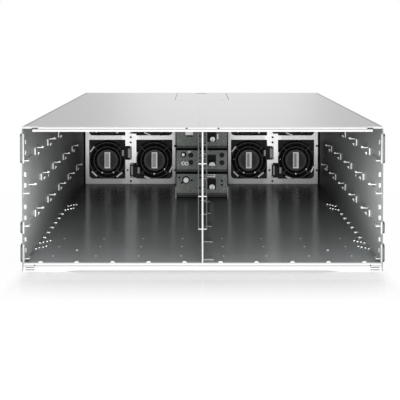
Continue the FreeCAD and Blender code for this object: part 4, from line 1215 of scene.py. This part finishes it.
def front_distance(material):
    """Distance of a place on the floor from the chassis's front, which grows faster beside and under it."""
    place = add_node(material, "ShaderNodeNewGeometry")
    split = add_node(material, "ShaderNodeSeparateXYZ")
    link(material, place.outputs["Position"], split.inputs["Vector"])
    behind = reckon(material, "SUBTRACT", split.outputs["Y"], FRONT)
    before = reckon(material, "MULTIPLY", behind, -1.0)
    under = reckon(material, "MULTIPLY", behind, UNDER_FADE)
    past_side = reckon(material, "SUBTRACT", distance_from(material, split.outputs["X"]), SHADOW_HALF)
    beside = reckon(material, "MULTIPLY", past_side, SIDE_FADE)
    return reckon(material, "MAXIMUM", reckon(material, "MAXIMUM", under, before), beside)


def add_stage():
    """White floor with the chassis's soft shadow and a mirror image that fades towards the camera."""
    bpy.ops.mesh.primitive_plane_add(size=STAGE_SIZE, location=(0, 0, 0))
    floor = bpy.context.object
    floor.name = "floor"
    material = bpy.data.materials.new("studio_white")
    material.use_nodes = True
    material.node_tree.nodes.clear()
    out = add_node(material, "ShaderNodeOutputMaterial")
    diffuse = add_node(material, "ShaderNodeBsdfDiffuse", Color=STAGE_WHITE)
    glow = add_node(material, "ShaderNodeEmission")
    mirror = add_node(material, "ShaderNodeBsdfGlossy", Roughness=MIRROR_ROUGHNESS)
    seen, camera_ray = seen_ray(material)
    away = front_distance(material)
    glow_ramp = ramp_over(material, away, (0.0, NEAR_GLOW), (FADE_LENGTH, FAR_GLOW), "LINEAR")
    glow_share = reckon(material, "MULTIPLY", seen, glow_ramp)
    pale = mixed(material, glow_share, diffuse.outputs["BSDF"], glow.outputs["Emission"])
    mirror_ramp = ramp_over(material, away, (0.0, MIRROR_SHARE), (FADE_LENGTH, 0.0), "LINEAR")
    mirror_share = reckon(material, "MULTIPLY", camera_ray, mirror_ramp)
    shader = mixed(material, mirror_share, pale, mirror.outputs["BSDF"])
    link(material, shader, out.inputs["Surface"])
    floor.data.materials.append(material)


def add_light(name, place, target, size, power):
    """Soft rectangular light that looks at a point."""
    data = bpy.data.lights.new(name, "AREA")
    data.shape = "RECTANGLE"
    data.size = size[0]
    data.size_y = size[1]
    data.energy = power
    light = bpy.data.objects.new(name, data)
    bpy.context.scene.collection.objects.link(light)
    light.location = place
    light.rotation_mode = "QUATERNION"
    light.rotation_quaternion = (Vector(target) - Vector(place)).to_track_quat("-Z", "Y")


def add_world():
    """Even white surround."""
    world = bpy.data.worlds.new("studio")
    bpy.context.scene.world = world
    world.use_nodes = True
    surround = world.node_tree.nodes["Background"]
    surround.inputs["Color"].default_value = WORLD_WHITE
    surround.inputs["Strength"].default_value = WORLD_LIGHT


def add_camera():
    """Camera at the photograph's place."""
    data = bpy.data.cameras.new("camera")
    data.sensor_width = SENSOR_WIDTH
    data.lens = FOCAL_PIXELS / IMAGE_PIXELS * SENSOR_WIDTH
    data.shift_y = SHIFT_PIXELS / IMAGE_PIXELS
    camera = bpy.data.objects.new("camera", data)
    bpy.context.scene.collection.objects.link(camera)
    camera.location = CAMERA_PLACE
    camera.rotation_euler = (math.radians(QUARTER_TURN - CAMERA_PITCH), 0, 0)
    bpy.context.scene.camera = camera


add_stage()
add_world()
add_light("front_box", **FRONT_BOX)
add_light("back_box", **BACK_BOX)
add_camera()
bpy.context.scene.view_settings.view_transform = "Standard"
